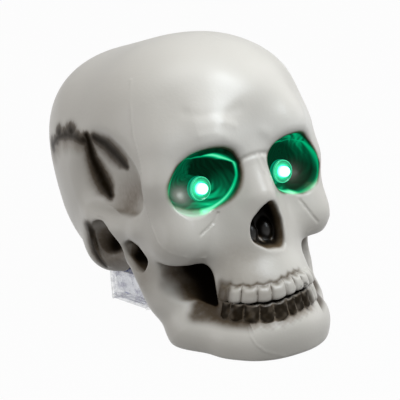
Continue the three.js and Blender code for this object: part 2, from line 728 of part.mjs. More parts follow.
// Resistor and the two short wires of the switch
const RESISTOR = { low: LID_Z[1] + 2.3, high: -5.2, lead: 0.35, r: 1.15 };
const up = (share) => RESISTOR.low + share * (RESISTOR.high - RESISTOR.low);
const resistor = lathe(
  [
    [0, up(0)],
    [RESISTOR.lead, up(0)],
    [RESISTOR.lead, up(0.245)],
    [RESISTOR.r - 0.15, up(0.265)],
    [RESISTOR.r, up(0.327)],
    [RESISTOR.r, up(0.714)],
    [RESISTOR.r - 0.15, up(0.776)],
    [RESISTOR.lead, up(0.796)],
    [RESISTOR.lead, up(1)],
    [0, up(1)],
  ],
  10,
);
add("resistor", inBox(resistor.rotateX(PI / 2).translate(GROMMET_X, -1.4, 0)), 0xc9ad7e);
const plusWire = [
  [GROMMET_X - 1.2, -CELL_Y, -3.1],
  [GROMMET_X, -CELL_Y, -3.6],
  [GROMMET_X + 0.6, -CELL_Y, -5],
  [GROMMET_X + 0.7, -CELL_Y, -7.3],
];
const switchWire = [
  [GROMMET_X, -1.5, LID_Z[1] + 1.4],
  [GROMMET_X + 0.1, -4, LID_Z[1] + 1.1],
  [GROMMET_X + 0.5, -6.4, LID_Z[1] + 2.1],
  [GROMMET_X + 0.6, -7, SW.z - 2.7],
];
const run = (list) => list.map((p) => boxPoint(p[0], p[1], p[2]));
add("wire_plus", wire(run(plusWire), WIRE_R, 10), 0xb01818);
add("wire_switch", wire(run(switchWire), WIRE_R, 12), 0xb01818);

// Screws that hold the box to the skull, heads inside the box
SCREW_X.forEach((x, i) => {
  const screw = lathe(
    [
      [0, -3.5],
      [2.1, -3.5],
      [2.6, -3.0],
      [2.6, -1.9],
      [1.3, -1.9],
      [1.3, 6.6],
      [0.4, 7.6],
      [0, 7.6],
    ],
    12,
  );
  const tag = i === 0 ? "right" : "left";
  add("case_screw_" + tag, inBox(screw.rotateX(PI / 2).translate(x, 0, 0)), 0x9a9da0, metal);
});

group.position.y = SHIFT_Y;
group.updateMatrixWorld(true);
const bounds = new THREE.Box3().setFromObject(group);
console.log("bounds " + JSON.stringify([bounds.min.toArray(), bounds.max.toArray()]));

export default group;
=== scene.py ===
"""Looks of the light-up skull decoration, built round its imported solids."""
import math

import bpy
import numpy as np
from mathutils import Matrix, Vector


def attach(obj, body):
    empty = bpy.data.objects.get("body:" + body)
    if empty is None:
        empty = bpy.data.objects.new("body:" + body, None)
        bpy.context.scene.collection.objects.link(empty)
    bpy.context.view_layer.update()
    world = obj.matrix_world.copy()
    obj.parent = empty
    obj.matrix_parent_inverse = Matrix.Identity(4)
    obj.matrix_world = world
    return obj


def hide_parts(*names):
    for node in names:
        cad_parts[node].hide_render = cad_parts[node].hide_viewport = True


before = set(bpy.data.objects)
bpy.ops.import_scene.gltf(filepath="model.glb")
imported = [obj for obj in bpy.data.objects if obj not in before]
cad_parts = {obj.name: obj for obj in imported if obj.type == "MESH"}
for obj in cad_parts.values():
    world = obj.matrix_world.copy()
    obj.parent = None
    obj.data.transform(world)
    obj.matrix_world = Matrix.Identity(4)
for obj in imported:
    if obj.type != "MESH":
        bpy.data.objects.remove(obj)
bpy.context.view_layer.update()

# The skull's form is written in millimetres, a little ahead of the part's own frame
MM = 0.001
SHIFT_Y = 0.3

# Ridge of the brow, cheekbone with its arch, and lower jaw: points with a radius
BROW = [(0, -34.4, 91.9, 5.8), (21.4, -40.4, 94.6, 9.4), (33.3, -31.0, 88.3, 7.0), (38.8, -34.2, 74.5, 7.3)]
CHEEK = [
    (22, -41.8, 49.8, 8.6),
    (35.4, -41.6, 49.7, 10),
    (42.6, -25.7, 53, 6.2),
    (46.8, -8.1, 51.6, 5.2),
    (45.6, 8, 51.4, 5.4),
]
JAW = [
    (21.5, -61.4, 5.7, 12.1),
    (30.4, -45.4, 7.7, 10.8),
    (34.4, -33.6, 20.6, 8.9),
    (37.9, -25.2, 28.5, 6.8),
    (40.5, -9.5, 39.2, 7.3),
]

# Eye sockets: middle, depth, lean, how far both lie to one side, and the outline of one rim across and up
SOCKET = {"x": 26.0, "y": -48.2, "z": 77.5, "depth": 12.5, "lean": 0.2, "aside": -0.6}
SOCKET_RIM = [
    (41.6, 75.5),
    (38.6, 81.5),
    (33.8, 86.8),
    (28, 90.6),
    (22.5, 91.6),
    (16.6, 90.6),
    (11, 87),
    (8.2, 82),
    (9.2, 75),
    (12.6, 69),
    (17.4, 65.2),
    (24, 63.2),
    (33.5, 63.6),
    (39, 66),
    (41.2, 69.5),
]

# Nose opening: its outline across and up, and how deep its floor lies
NOSE_MID = (1.0, 54.0)
NOSE_RIM = [
    (10.6, 50),
    (9.2, 58.6),
    (4.4, 64.8),
    (1.8, 66.6),
    (-5, 61.4),
    (-8.8, 53.8),
    (-8.4, 49.2),
    (-3.8, 46.4),
    (3, 44.8),
    (8.6, 43.8),
]
NOSE_FLOOR = -49.0

# Lamps: tip and axis
LAMP_TIP = (23.6, -45.0, 72.4)
LAMP_AXIS = (0.0, -0.985, 0.1725)

# Battery box: half length, half depth, pitch, middle of its top, and the gap left round it
BOX = {"hx": 34.5, "hy": 17.0, "pitch": 8.36, "at": (0.0, 7.0, 21.8), "gap": 0.6}

# Teeth: borders as angles round the middle of the mouth, in degrees, and heights
MOUTH_MID = -52.0
UPPER_EDGES = [-75, -64.8, -51.5, -35.6, -20.1, -1.7, 11.5, 23.3, 34, 44, 53]
LOWER_EDGES = [-70, -60.9, -48.2, -33.2, -18.9, -2.8, 7.9, 18.6, 29, 39, 48]
UPPER_Z = (25.2, 31.9)
LOWER_Z = (16.8, 23.9)
UPPER_RELIEF = 2.1
LOWER_RELIEF = 1.1

# The face ends at this y, and the sides of the skull begin at this distance from its middle
FACE_BACK = -20
SIDE_FROM = 34

# Grid that the skull's surface is drawn on: stretches of start, end and step along each axis
GRID_X = [(-57, -44, 1.1), (-44, 44, 0.95), (44, 57.5, 1.1)]
GRID_Y = [(-87, -40, 0.9), (-40, 87, 1.5)]
GRID_Z = [(-2.5, 13, 1.3), (13, 35, 0.75), (35, 62, 1.1), (62, 93, 0.95), (93, 137, 1.5)]


def smin(a, b, k):
    """The lesser of two distances, blended over k."""
    h = np.clip(0.5 + 0.5 * (b - a) / k, 0, 1)
    return b + (a - b) * h - k * h * (1 - h)


def smax(a, b, k):
    """The greater of two distances, blended over k."""
    return -smin(-a, -b, k)


def step(low, high, v):
    """A soft step from 0 at low to 1 at high."""
    t = np.clip((v - low) / (high - low), 0, 1)
    return t * t * (3 - 2 * t)


def turned(y, z, tilt):
    """Y and Z turned by an angle about X."""
    a = math.radians(tilt)
    return math.cos(a) * y + math.sin(a) * z, -math.sin(a) * y + math.cos(a) * z


def ell(x, y, z, c, r, tilt=0.0, n=2.0):
    """Distance to an ellipsoid, or to a squarer form where n is above 2."""
    v, w = turned(y - c[1], z - c[2], tilt)
    p = np.abs(x - c[0]) / r[0] + 1e-6
    q = np.abs(v) / r[1] + 1e-6
    s = np.abs(w) / r[2] + 1e-6
    f = (p**n + q**n + s**n) ** (1 / n)
    slope = (p ** (n - 1) / r[0]) ** 2 + (q ** (n - 1) / r[1]) ** 2 + (s ** (n - 1) / r[2]) ** 2
    return (f - 1) / (f ** (1 - n) * np.sqrt(slope) + 1e-9)


def block(x, y, z, c, h, r, tilt):
    """Distance to a box with rounded edges."""
    v, w = turned(y - c[1], z - c[2], tilt)
    a = np.abs(x - c[0]) - h[0] + r
    b = np.abs(v) - h[1] + r
    d = np.abs(w) - h[2] + r
    out = np.sqrt(np.maximum(a, 0) ** 2 + np.maximum(b, 0) ** 2 + np.maximum(d, 0) ** 2)
    return out + np.minimum(np.maximum(np.maximum(a, b), d), 0) - r


def rod(x, y, z, a, b):
    """Distance to a round rod whose radius goes from a's to b's."""
    d = np.subtract(b[:3], a[:3])
    t = np.clip(((x - a[0]) * d[0] + (y - a[1]) * d[1] + (z - a[2]) * d[2]) / (d @ d), 0, 1)
    away = (x - a[0] - t * d[0]) ** 2 + (y - a[1] - t * d[1]) ** 2 + (z - a[2] - t * d[2]) ** 2
    return np.sqrt(away) - (a[3] + (b[3] - a[3]) * t)


def chain(x, y, z, points, k):
    """Distance to rods joined end to end."""
    d = rod(x, y, z, points[0], points[1])
    for a, b in zip(points[1:], points[2:]):
        d = smin(d, rod(x, y, z, a, b), k)
    return d


def braincase(x, y, z):
    """The rounded back, the bosses at its upper rear and the forehead."""
    d = ell(x, y, z, (0, 20.1, 63.8), (52.5, 64.8, 60.9), -22)
    bosses = ell(np.sqrt(x * x + 16), y, z, (17.7, 35.3, 85.2), (29.4, 38.7, 29.8))
    d = smin(d, bosses, 20)
    forehead = ell(x, y, z, (0, -10.6, 90.6), (48.8, 33.6, 40.9), 0, 2.3)
    d = smin(d, forehead, 26)
    mid_face = block(x, y, z, (0, -19.8, 69.6), (42.6, 22.8, 29.2), 20, -17)
    d = smin(d, mid_face, 12)
    upper_forehead = ell(x, y, z, (0, -22, 109), (31, 24, 17))
    return smin(d, upper_forehead, 9)


def skull_form(x, y, z):
    """The skull before its hollows are cut."""
    x = np.abs(x)
    d = braincase(x, y, z)
    d = smin(d, chain(np.sqrt(x * x + 20), y, z, BROW, 10), 14)
    d = smin(d, chain(x, y, z, CHEEK, 8), 10)
    d = smin(d, rod(x, y, z, BROW[3], CHEEK[1]), 10)
    upper_jaw = ell(x, y, z, (0, -44.9, 35.2), (26.9, 18.7, 20.7), 0, 2.2)
    d = smin(d, upper_jaw, 10)
    nose_sides = ell(x, y, z, (0, -44.9, 56.3), (15, 15.3, 19.5), -14)
    d = smin(d, nose_sides, 10)
    nose_bone = rod(x, y, z, (0, -40.9, 86.8, 4.0), (0, -54.3, 67.8, 5.1))
    d = smin(d, nose_bone, 9)
    chin = ell(x, y, z, (0, -70.2, 4.9), (23.6, 14.7, 14.3), 0, 2.4)
    d = smin(d, smin(chin, chain(x, y, z, JAW, 8), 12), 8)
    jaw_branch = rod(x, y, z, (34.6, -32.3, 21.1, 8.6), (39, -30.5, 40, 6.6))
    d = smin(d, jaw_branch, 8)
    between_jaws = ell(x, y, z, (0, -33.3, 23.1), (30.6, 39.3, 23.4))
    d = smin(d, between_jaws, 8)
    behind_ear = rod(x, y, z, (38.9, 14, 42, 8.9), (36.2, 16.9, 29.7, 10.7))
    d = smin(d, behind_ear, 10)
    tooth_arch = ell(x, y, z, (0, -54, 22), (23.6, 19.5, 16), 0, 2.6)
    d = smin(d, tooth_arch, 9)
    temple_dip = ell(x, y, z, (61, -10, 70), (14, 20, 21))
    return smax(d, -temple_dip, 10)


def underside(y):
    """Height of the skull's underside: flat jaw, its rising rear, seat of the box."""
    return np.maximum(0, np.minimum((y + 42) * 0.867, 21.1 - 0.147 * (y + 10)))


def polar(points, middle, steps=180):
    """Radius by angle of a closed outline round a middle, with its corners eased."""
    p = np.array(points, float) - middle
    turn = np.linspace(-math.pi, math.pi, steps, endpoint=False)
    r = np.interp(turn, np.arctan2(p[:, 1], p[:, 0]), np.hypot(p[:, 0], p[:, 1]), period=2 * math.pi)
    r = sum(np.roll(r, k) for k in range(-5, 6)) / 11
    return lambda a: np.interp(a, turn, r, period=2 * math.pi)


socket_radius = polar(SOCKET_RIM, (SOCKET["x"], SOCKET["z"]))
nose_radius = polar(NOSE_RIM, NOSE_MID)


def socket_space(x, y, z):
    """The bowl of an eye socket."""
    u = np.abs(x - SOCKET["aside"]) - SOCKET["x"]
    v = z - SOCKET["z"]
    w = y - SOCKET["y"] - SOCKET["lean"] * u
    wide = socket_radius(np.arctan2(v, u)) * (1 + 0.012 * np.maximum(-w, 0))
    k = np.hypot(u, v) / wide
    return (np.sqrt(k * k + (np.maximum(w, 0) / SOCKET["depth"]) ** 2) - 1) * 15.5


def nose_space(x, y, z):
    """The opening of the nose, with two rounded bodies left standing in it."""
    u = x - NOSE_MID[0]
    v = z - NOSE_MID[1]
    side = np.hypot(u, v) - nose_radius(np.arctan2(v, u)) * (1 - 0.02 * (y + 60))
    space = smax(side, y - NOSE_FLOOR, 3)
    lumps = ell(np.abs(x - NOSE_MID[0]), y, z, (4.2, -49.5, 48.5), (4.2, 5.5, 6))
    return smax(space, -lumps, 2)


def cheek_space(x, y, z):
    """The scooped hollow behind the upper jaw: crisp above and in front, fading behind and below."""
    out = 0.766 * np.abs(x) - 0.643 * y
    back = 0.643 * np.abs(x) + 0.766 * y
    above = z - 40.8 + 0.06 * np.abs(back + 14)
    front = -25.2 - 0.26 * (34 - z) - back
    behind = np.maximum(back + 24, 0)
    below = np.maximum(30 - z, 0)
    floor = 44.0 + 0.026 * behind**2 + 0.16 * below**2
    steep = np.sqrt(1 + (0.052 * behind) ** 2 + (0.32 * below) ** 2)
    return smax(smax(above, front, 8), (floor - out) / steep, 3)


def temple_space(x, y, z):
    """The hollow of the temple, with a crisp front and lower edge."""
    bowl = ell(np.abs(x), y, z, (56.5, -11, 69), (13.2, 27, 23))
    front = -34.6 + 0.004 * (z - 74) ** 2 - y
    below = 57.4 + 0.02 * np.maximum(-16 - y, 0) ** 2 - z
    return smax(bowl, smax(front, below, 8), 2.0)


def side_space(x, y, z):
    """The hollows behind the jaw and under the cheek's arch."""
    x = np.abs(x)
    ear = ell(x, y, z, (52, -1, 34), (12, 13.5, 16.5), -8)
    wedge = smax(z - 45.8 + np.maximum(0.55 * (y + 19), -0.3 * (y + 19)), -31 - 0.5 * (z - 36) - y, 2)
    arch = smax(ell(x, y, z, (48.5, -23.8, 39), (9, 10.2, 6.5), 20), wedge, 2)
    return np.minimum(ear, arch)


def lamp_space(x, y, z):
    """The seat of a lamp's ring at the back of a socket."""
    px = np.abs(x) - LAMP_TIP[0]
    py = y - LAMP_TIP[1]
    pz = z - LAMP_TIP[2]
    along = py * LAMP_AXIS[1] + pz * LAMP_AXIS[2]
    r = np.sqrt(np.maximum(px * px + py * py + pz * pz - along * along, 0))
    return np.maximum(r - 6.0, -7.0 - along)


def box_space(x, y, z):
    """The pocket that the battery box sits in."""
    v, w = turned(y - BOX["at"][1], z - BOX["at"][2], -BOX["pitch"])
    side = np.maximum(np.abs(x) - BOX["hx"], np.abs(v) - BOX["hy"]) - BOX["gap"]
    return np.maximum(side, w - 0.3)


def tooth_cell(angle, z, edges, low, high, turn):
    """Place on a tooth: 0 to 1 from its middle to its side, and -1 to 1 from its foot to its top."""
    i = np.clip(np.searchsorted(edges, angle) - 1, 0, len(edges) - 2)
    edges = np.asarray(edges, float)
    mid = (edges[i] + edges[i + 1]) / 2
    half = (edges[i + 1] - edges[i]) / 2
    s = np.clip(np.abs(angle - mid) / half, 0, 1)
    return s, (z - (low + high) / 2 - turn * s * s) / ((high - low) / 2)


def mouth_cells(x, y, z):
    """Angle round the mouth, and place on the upper and on the lower teeth."""
    angle = np.degrees(np.arctan2(x, MOUTH_MID - y))
    lift = 0.6 * step(20, 70, np.abs(angle))
    rise = 0.05 * np.clip(angle + 15, 0, 30)
    upper = tooth_cell(angle, z - rise + lift, UPPER_EDGES, UPPER_Z[0], UPPER_Z[1], 0.5)
    return angle, upper, tooth_cell(angle, z - rise - lift, LOWER_EDGES, LOWER_Z[0], LOWER_Z[1], 0.5)


def teeth(x, y, z):
    """Relief of the upper and the lower row, from 0 to 1."""
    angle, upper, lower = mouth_cells(x, y, z)
    far = np.where(angle < 0, step(-80, -60, angle), step(58, 44, angle)) * (y < -48)
    rows = []
    for (s, v), edges in ((upper, UPPER_EDGES), (lower, LOWER_EDGES)):
        v = np.minimum(np.abs(v), 1)
        on = (angle > edges[0]) & (angle < edges[-1])
        rows.append((1 - s**3.4) ** 0.55 * (1 - v**3.4) ** 0.55 * far * on)
    return rows


def cut_form(x, y, z):
    """The skull with its hollows, on which the fine relief lies."""
    d = skull_form(x, y, z)
    d = smax(d, underside(y) - z, 1.6)
    d = smax(d, -temple_space(x, y, z), 1.6 + 8 * step(-24, 4, y))
    d = smax(d, -cheek_space(x, y, z), 1.4)
    d = smax(d, -side_space(x, y, z), 1.0)
    d = smax(d, -nose_space(x, y, z), 1.2)
    under_brow = step(76, 92, z)
    d = smax(d, -socket_space(x, y, z), 1.4 + 4.4 * under_brow)
    d = smax(d, -lamp_space(x, y, z), 0.5)
    return smax(d, -box_space(x, y, z), 0.6)


def full_form(x, y, z):
    """The skull with hollows and teeth."""
    d = cut_form(x, y, z)
    mouth = (np.abs(x) < 30) & (y < -50) & (z > 13) & (z < 35)
    if mouth.any():
        upper, lower = teeth(x[mouth], y[mouth], z[mouth])
        d[mouth] -= UPPER_RELIEF * upper + LOWER_RELIEF * lower
    return d


def sample(axes, form, size=4):
    """Values of a form on a grid, exact only in blocks that the surface may pass through."""
    mids = [np.array([a[i : i + size].mean() for i in range(0, len(a), size)]) for a in axes]
    rough = form(*[g.ravel() for g in np.meshgrid(*mids, indexing="ij")])
    rough = rough.reshape([len(m) for m in mids])
    reach = 1.25 * size * max(np.diff(a).max() for a in axes)
    shape = tuple(len(a) for a in axes)

    def enlarged(g):
        g = g.repeat(size, 0).repeat(size, 1).repeat(size, 2)
        return g[: shape[0], : shape[1], : shape[2]].copy()

    field = enlarged(rough)
    at = np.nonzero(enlarged(np.abs(rough) < reach))
    field[at] = form(*[a[i] for a, i in zip(axes, at)])
    return field


def surface_net(axes, field):
    """Points and quads of the surface where a field on a grid passes through zero."""
    inside = field < 0
    n = np.array(field.shape)
    count = np.zeros(n - 1, np.int8)
    for i, j, k in np.ndindex(2, 2, 2):
        count += inside[i : n[0] - 1 + i, j : n[1] - 1 + j, k : n[2] - 1 + k]
    cells = np.argwhere((count > 0) & (count < 8))
    index = np.full(n - 1, -1)
    index[tuple(cells.T)] = np.arange(len(cells))
    points = np.zeros((len(cells), 3))
    hits = np.zeros(len(cells))
    quads = []
    unit = np.eye(3, dtype=int)
    for axis in range(3):
        u, v = unit[(axis + 1) % 3], unit[(axis + 2) % 3]
        for a, b in np.ndindex(2, 2):
            low = cells + a * u + b * v
            high = low + unit[axis]
            f0, f1 = field[tuple(low.T)], field[tuple(high.T)]
            on = (f0 < 0) != (f1 < 0)
            at = np.stack([axes[k][low[:, k]] for k in range(3)], 1)
            share = np.where(on, f0 / np.where(on, f0 - f1, 1), 0)
            at[:, axis] += share * (axes[axis][high[:, axis]] - at[:, axis])
            points[on] += at[on]
            hits += on
        size = n - unit[axis]
        first = inside[: size[0], : size[1], : size[2]]
        second = inside[n[0] - size[0] :, n[1] - size[1] :, n[2] - size[2] :]
        edge = np.argwhere(first != second)
        ring = np.stack([index[tuple((edge - o).T)] for o in (u * 0, u, u + v, v)], 1)
        out = first[tuple(edge.T)]
        quads.append(np.where(out[:, None], ring, ring[:, ::-1]))
    return points / hits[:, None], np.vstack(quads)


def split_quads(points, quads):
    """Every quad into four that share their edge points."""
    ends = np.sort(np.stack([quads, np.roll(quads, -1, 1)], 2).reshape(-1, 2), 1)
    keys, where = np.unique(ends[:, 0] * len(points) + ends[:, 1], return_inverse=True)
    pairs = np.stack([keys // len(points), keys % len(points)], 1)
    edge = where.reshape(-1, 4) + len(points)
    mid = np.arange(len(quads)) + len(points) + len(pairs)
    parts = np.stack([quads, edge, np.repeat(mid[:, None], 4, 1), np.roll(edge, 1, 1)], 2)
    return np.vstack([points, points[pairs].mean(1), points[quads].mean(1)]), parts.reshape(-1, 4)


def settle(points, form, rounds=3):
    """Moves points along the form's slope until they lie on it."""
    corners = np.array([(1, 1, 1), (1, -1, -1), (-1, 1, -1), (-1, -1, 1)], float)
    reach = 0.12
    for _ in range(rounds):
        values = [form(*(points + reach * c).T) for c in corners]
        slope = sum(v[:, None] * c for v, c in zip(values, corners)) / (4 * reach)
        value = sum(values) / 4
        size = np.maximum((slope**2).sum(1), 0.15)
        move = slope * (value / size)[:, None]
        far = np.linalg.norm(move, axis=1, keepdims=True)
        points = points - move * np.minimum(1, 1.2 / np.maximum(far, 1e-9))
    return points


def spans(*parts):
    """Places along an axis, from stretches of start, end and step."""
    return np.concatenate([np.arange(a, b, s) for a, b, s in parts])


def line_gap(p, line):
    """Distance from points to a line of straight stretches."""
    best = np.full(len(p), 1e9)
    line = np.array(line, float)
    for a, b in zip(line, line[1:]):
        d = b - a
        t = np.clip((p - a) @ d / (d @ d), 0, 1)
        best = np.minimum(best, np.linalg.norm(p - a - t[:, None] * d, axis=1))
    return best


# The side strokes are sprayed from the front quarter: shares of width, y and z in their back and up
SPRAY_BACK = (0.819, 0.574, 0)
SPRAY_UP = (-0.177, 0.253, 0.951)
# Airbrushed strokes on the side in those two directions: back, up and half width
STROKE_FRONT = [
    (44.8, 77.5, 2.2),
    (39.1, 74.1, 3.1),
    (34.5, 69.4, 3.2),
    (30.6, 65.1, 2.6),
    (29.2, 63.5, 1.4),
]
STROKE_REAR = [
    (48.7, 78.6, 1.8),
    (47.9, 76.8, 2.2),
    (47.2, 72.7, 2.6),
    (46.2, 68.2, 2.9),
    (44.0, 63.0, 3.7),
    (41.8, 58.3, 4.3),
    (39.4, 53.6, 3.9),
    (37.8, 50.6, 2.2),
]
MASTOID_BAND = [
    (49.4, 37, 1.8),
    (47.9, 33.2, 2.4),
    (47.5, 28.3, 2.3),
    (46.4, 23.8, 2.1),
    (44.1, 19.7, 1.8),
    (41.4, 16.4, 1.4),
]
# Seam of the crown: y, z and half width
SEAM = [(46, 75.6, 2.4), (39, 81.6, 2.2), (34, 84, 2.2), (27, 86.2, 2.6), (20, 87.2, 2.6), (11, 86.4, 3)]
# Dabs of the zigzag seam: y, z, half length, half height and strength
SEAM_DABS = [
    (45.4, 76.8, 5, 4.2, 0.9),
    (40, 80.6, 4.4, 2.6, 0.8),
    (36.5, 84.9, 4.4, 4, 0.9),
    (29.2, 86, 4.6, 3.4, 0.88),
    (23.6, 88.6, 6.4, 4, 0.95),
    (17, 87.8, 5, 3, 0.8),
    (12, 87, 5, 3.2, 0.95),
]
# Painted glints: small bare spots at the bottom of the nose: x, z
NOSE_PAINTED_GLINTS = [(-3.3, 46.8), (1.5, 46), (7, 45)]
# Light painted as a glow on the socket's wall: angle from the outer side over the top, share of the radius,
# strength and half width
SOCKET_LIGHT = [
    (0, 1.02, 0.56, 1.1),
    (36, 0.94, 0.6, 0.7),
    (60, 0.75, 0.5, 0.4),
    (90, 0.57, 0.5, 0.4),
    (117, 0.6, 0.6, 0.6),
    (132, 0.74, 0.95, 1.4),
    (148, 0.83, 0.95, 1.5),
    (160, 0.96, 0.9, 0.4),
    (180, 0.98, 0.66, 0.3),
    (215, 0.98, 0.85, 0.3),
    (238, 0.98, 0.95, 0.4),
    (266, 1.0, 1.0, 0.8),
    (280, 1.02, 0.6, 0.45),
    (335, 1.05, 0.5, 0.8),
]
# Light painted as a glow that fills the socket near its edge: angle, strength in the near one and in the far
# one
SOCKET_FILL = [
    (0, 0.34, 0.2),
    (40, 0.34, 0.42),
    (80, 0.28, 0.42),
    (110, 0.08, 0.4),
    (140, 0.04, 0.3),
    (170, 0.05, 0.35),
    (195, 0.22, 0.35),
    (220, 0.42, 0.35),
    (250, 0.5, 0.3),
    (270, 0.4, 0.1),
    (300, 0.3, 0.06),
    (340, 0.34, 0.08),
]
# Edge of the socket's paint: angle, share of the radius where it starts and where it is full
SOCKET_PAINT = [
    (0, 1.12, 1.03),
    (40, 1.12, 1.02),
    (90, 1.16, 0.99),
    (140, 1.13, 0.99),
    (165, 1.08, 1.0),
    (200, 1.06, 1.0),
    (240, 1.04, 0.97),
    (275, 0.99, 0.91),
    (310, 0.97, 0.86),
    (340, 1.08, 0.98),
]
# Lines of the mould: from the crown down the side to the upper jaw, and on the chin
PARTING = [
    (41, -11.8, 118.3),
    (46.4, -20.1, 106.9),
    (48.4, -24.5, 96.7),
    (48.8, -28.3, 90.8),
    (49.4, -32.3, 82.6),
    (50.2, -34.1, 74),
    (49.3, -35, 67.1),
    (48.6, -38.7, 58.7),
    (48.5, -44.1, 51.8),
    (46.1, -49.9, 48.3),
    (40.7, -53.7, 46.5),
    (29.6, -53.3, 43.5),
]
CHIN_LINE = [(21.1, -74.3, 16.4), (22.1, -77.1, 12.9), (20.9, -80, 8.9), (17, -82.2, 5.3), (7.8, -84.3, 1.7)]
WRINKLES = [
    [(19.8, -49.5, 61.7), (23.1, -50.3, 57.8), (32.2, -53.8, 55)],
    [(26.9, -50.5, 59.4), (31.2, -54.4, 52.2), (34.5, -55.1, 48.3)],
]
MASTOID = [(48.7, 11.8, 37.7), (47.4, 11.4, 32.4), (45.4, 9.8, 27.5), (42.1, 8.8, 22.9)]
# Creases and low ridges of brow, nose root and crown: points, height and half width
BROW_CREASE = [
    (31.5, -40.6, 107.5),
    (27.1, -45.8, 106.7),
    (20.6, -47.9, 107.5),
    (12.9, -48.6, 107),
    (7, -48, 107.9),
]
BROW_LINES = [
    (BROW_CREASE, -0.2, 2.4),
    ([(29.6, -49.3, 98.8), (23.6, -52.1, 99.4), (19, -52.9, 98)], 0.22, 1.8),
    ([(17.8, -50.7, 103.6), (11.8, -50.8, 101)], 0.2, 1.8),
]
NOSE_CREASE = [
    (-9.5, -48.7, 82.6),
    (-7.1, -50.8, 85),
    (-3.1, -51.3, 86.1),
    (1.4, -51.4, 86.3),
    (6.6, -50.7, 85.6),
]
MID_LINES = [
    (NOSE_CREASE, -0.5, 1.2),
    ([(0.2, -51.5, 85.9), (1.1, -52.6, 82.2), (2, -54.5, 78.3)], 0.2, 0.7),
    ([(3.1, -51.5, 85.4), (5, -52, 81.4), (5.4, -53.1, 78.4)], 0.2, 0.7),
    ([(4.4, -50.2, 96.2), (6.4, -50.7, 94.9)], 0.3, 2.6),
    ([(4.1, -5.5, 133.8), (4, -17.6, 132.4)], 0.25, 0.5),
]


def relief(p):
    """Fine lines of the moulding, in millimetres outwards."""
    q = np.abs(p[:, :1]) * (1, 0, 0) + p * (0, 1, 1)
    lines = [(q, PARTING, 0.3, 0.5, 1), (q, CHIN_LINE, 0.2, 0.5, p[:, 0] < 0), (q, MASTOID, 0.7, 0.8, 1)]
    lines += [(q, line, -0.5, 0.6, p[:, 0] * side > 0) for line, side in zip(WRINKLES, (-1, 1))]
    lines += [(q, line, height, half, p[:, 0] < 0) for line, height, half in BROW_LINES]
    lines += [(p, line, height, half, 1) for line, height, half in MID_LINES]
    total = np.zeros(len(p))
    for at, line, height, half, on in lines:
        total += height * np.exp(-((line_gap(at, line) / half) ** 2)) * on
    return total


def ragged(a, b, size):
    """Uneven waves between -1 and 1 over two lengths, for brushed edges."""
    a, b = a / size, b / size
    waves = np.sin(2.3 * a + 1.1 * b + 0.4) + np.sin(1.7 * b - 2.9 * a + 1.9)
    return (waves + np.sin(5.1 * a + 3.7 * b) * 0.7 + np.sin(6.3 * b - 4.1 * a + 2.2) * 0.7) / 3.4


def stroke_share(y, z, line):
    """Place across a painted stroke, as a share of its half width, less than 0 on its crisp side."""
    best = np.full(len(y), 1e9)
    share = best.copy()
    for (y0, z0, w0), (y1, z1, w1) in zip(line, line[1:]):
        dy, dz = y1 - y0, z1 - z0
        t = np.clip(((y - y0) * dy + (z - z0) * dz) / (dy * dy + dz * dz), 0, 1)
        ey, ez = y - y0 - t * dy, z - z0 - t * dz
        gap = np.hypot(ey, ez)
        near = gap < best
        side = np.where(dy * ez > dz * ey, 1, -1)
        best = np.where(near, gap, best)
        share = np.where(near, side * gap / (w0 + (w1 - w0) * t), share)
    return share


def by_angle(angle, rows):
    """Columns of a round table at given angles."""
    at = [r[0] for r in rows]
    return [np.interp(angle, at, column, period=360) for column in list(zip(*rows))[1:]]


def socket_polar(x, z):
    """Angle round a socket, from its outer side over the top, its radius there and the share of it."""
    u = np.abs(x - SOCKET["aside"]) - SOCKET["x"]
    v = z - SOCKET["z"]
    turn = np.arctan2(v, u)
    radius = socket_radius(turn)
    return np.degrees(turn) % 360, radius, np.hypot(u, v) / radius


def near_socket(x, y, z, reach):
    """Points on the face within reach of a socket's wall."""
    return (socket_space(x, y, z) < reach) & (y < FACE_BACK)


def socket_wear_and_reflection(x, angle, share):
    """Bare plastic in a socket, below and outside its lamp, where the paint is worn off and the patch stands
    in for a painted reflection.
    """
    worn = np.exp(-(((angle - 302) / 26) ** 2) - ((share - 0.62) / 0.22) ** 2)
    return worn * np.where(x < 0, 1, 0.7)


def lamp_glow(p):
    """The lamp's light caught on the wall and lip of each socket, painted as a glow, from 0 to 1."""
    x, y, z = p.T
    angle, radius, share = socket_polar(x, z)
    line, strength, half = by_angle(angle, SOCKET_LIGHT)
    low_lip = step(268, 285, angle) * step(352, 338, angle)
    strength = strength * np.where(x < 0, 1 - 0.5 * low_lip, 1)
    glow = strength * np.exp(-(((share - line) * radius / half) ** 2))
    inside = step(1.06, 0.98, share)
    streaks = 1 + 0.5 * ragged(share * radius + 2 * np.sin(angle / 19), angle / 30, 1.1)
    near_side, far_side = by_angle(angle, SOCKET_FILL)
    edge = np.where(x < 0, near_side, far_side)
    middle = np.where(x < 0, 0.24 - 0.2 * step(60, 110, angle) * step(215, 190, angle), 0.08)
    fill = (middle + (edge - middle) * step(0.45, 0.85, share)) * streaks
    fill = fill * (1 - 0.8 * socket_wear_and_reflection(x, angle, share))
    return near_socket(x, y, z, 3.0) * np.clip(np.maximum(glow, inside * fill), 0, 1)


def painted_patch_light(p):
    """Painted light on the worn patches of the sockets: the lamps' pale light, painted as a reflection."""
    x, y, z = p.T
    angle, _, share = socket_polar(x, z)
    return near_socket(x, y, z, 3.0) * socket_wear_and_reflection(x, angle, share) * np.where(x < 0, 0.75, 0.3)


def painted_face_shade_and_light(p):
    """Tone of the bare plastic with painted shade and light: 0.5 in most places, less on the lower face,
    more on the brow.
    """
    x, y, z = p.T
    chin_only = 1 - step(28, 18, z) * step(14, 24, np.abs(x))
    # Painted shade on the near side of the lower face.
    lower = step(66, 50, z) * step(-34, -46, y) * step(12, -4, x) * chin_only
    # Painted light on the brow.
    brow = np.exp(-(((z - 94) / 9) ** 2)) * step(-34, -44, y)
    return 0.5 - 0.4 * lower + 0.6 * brow


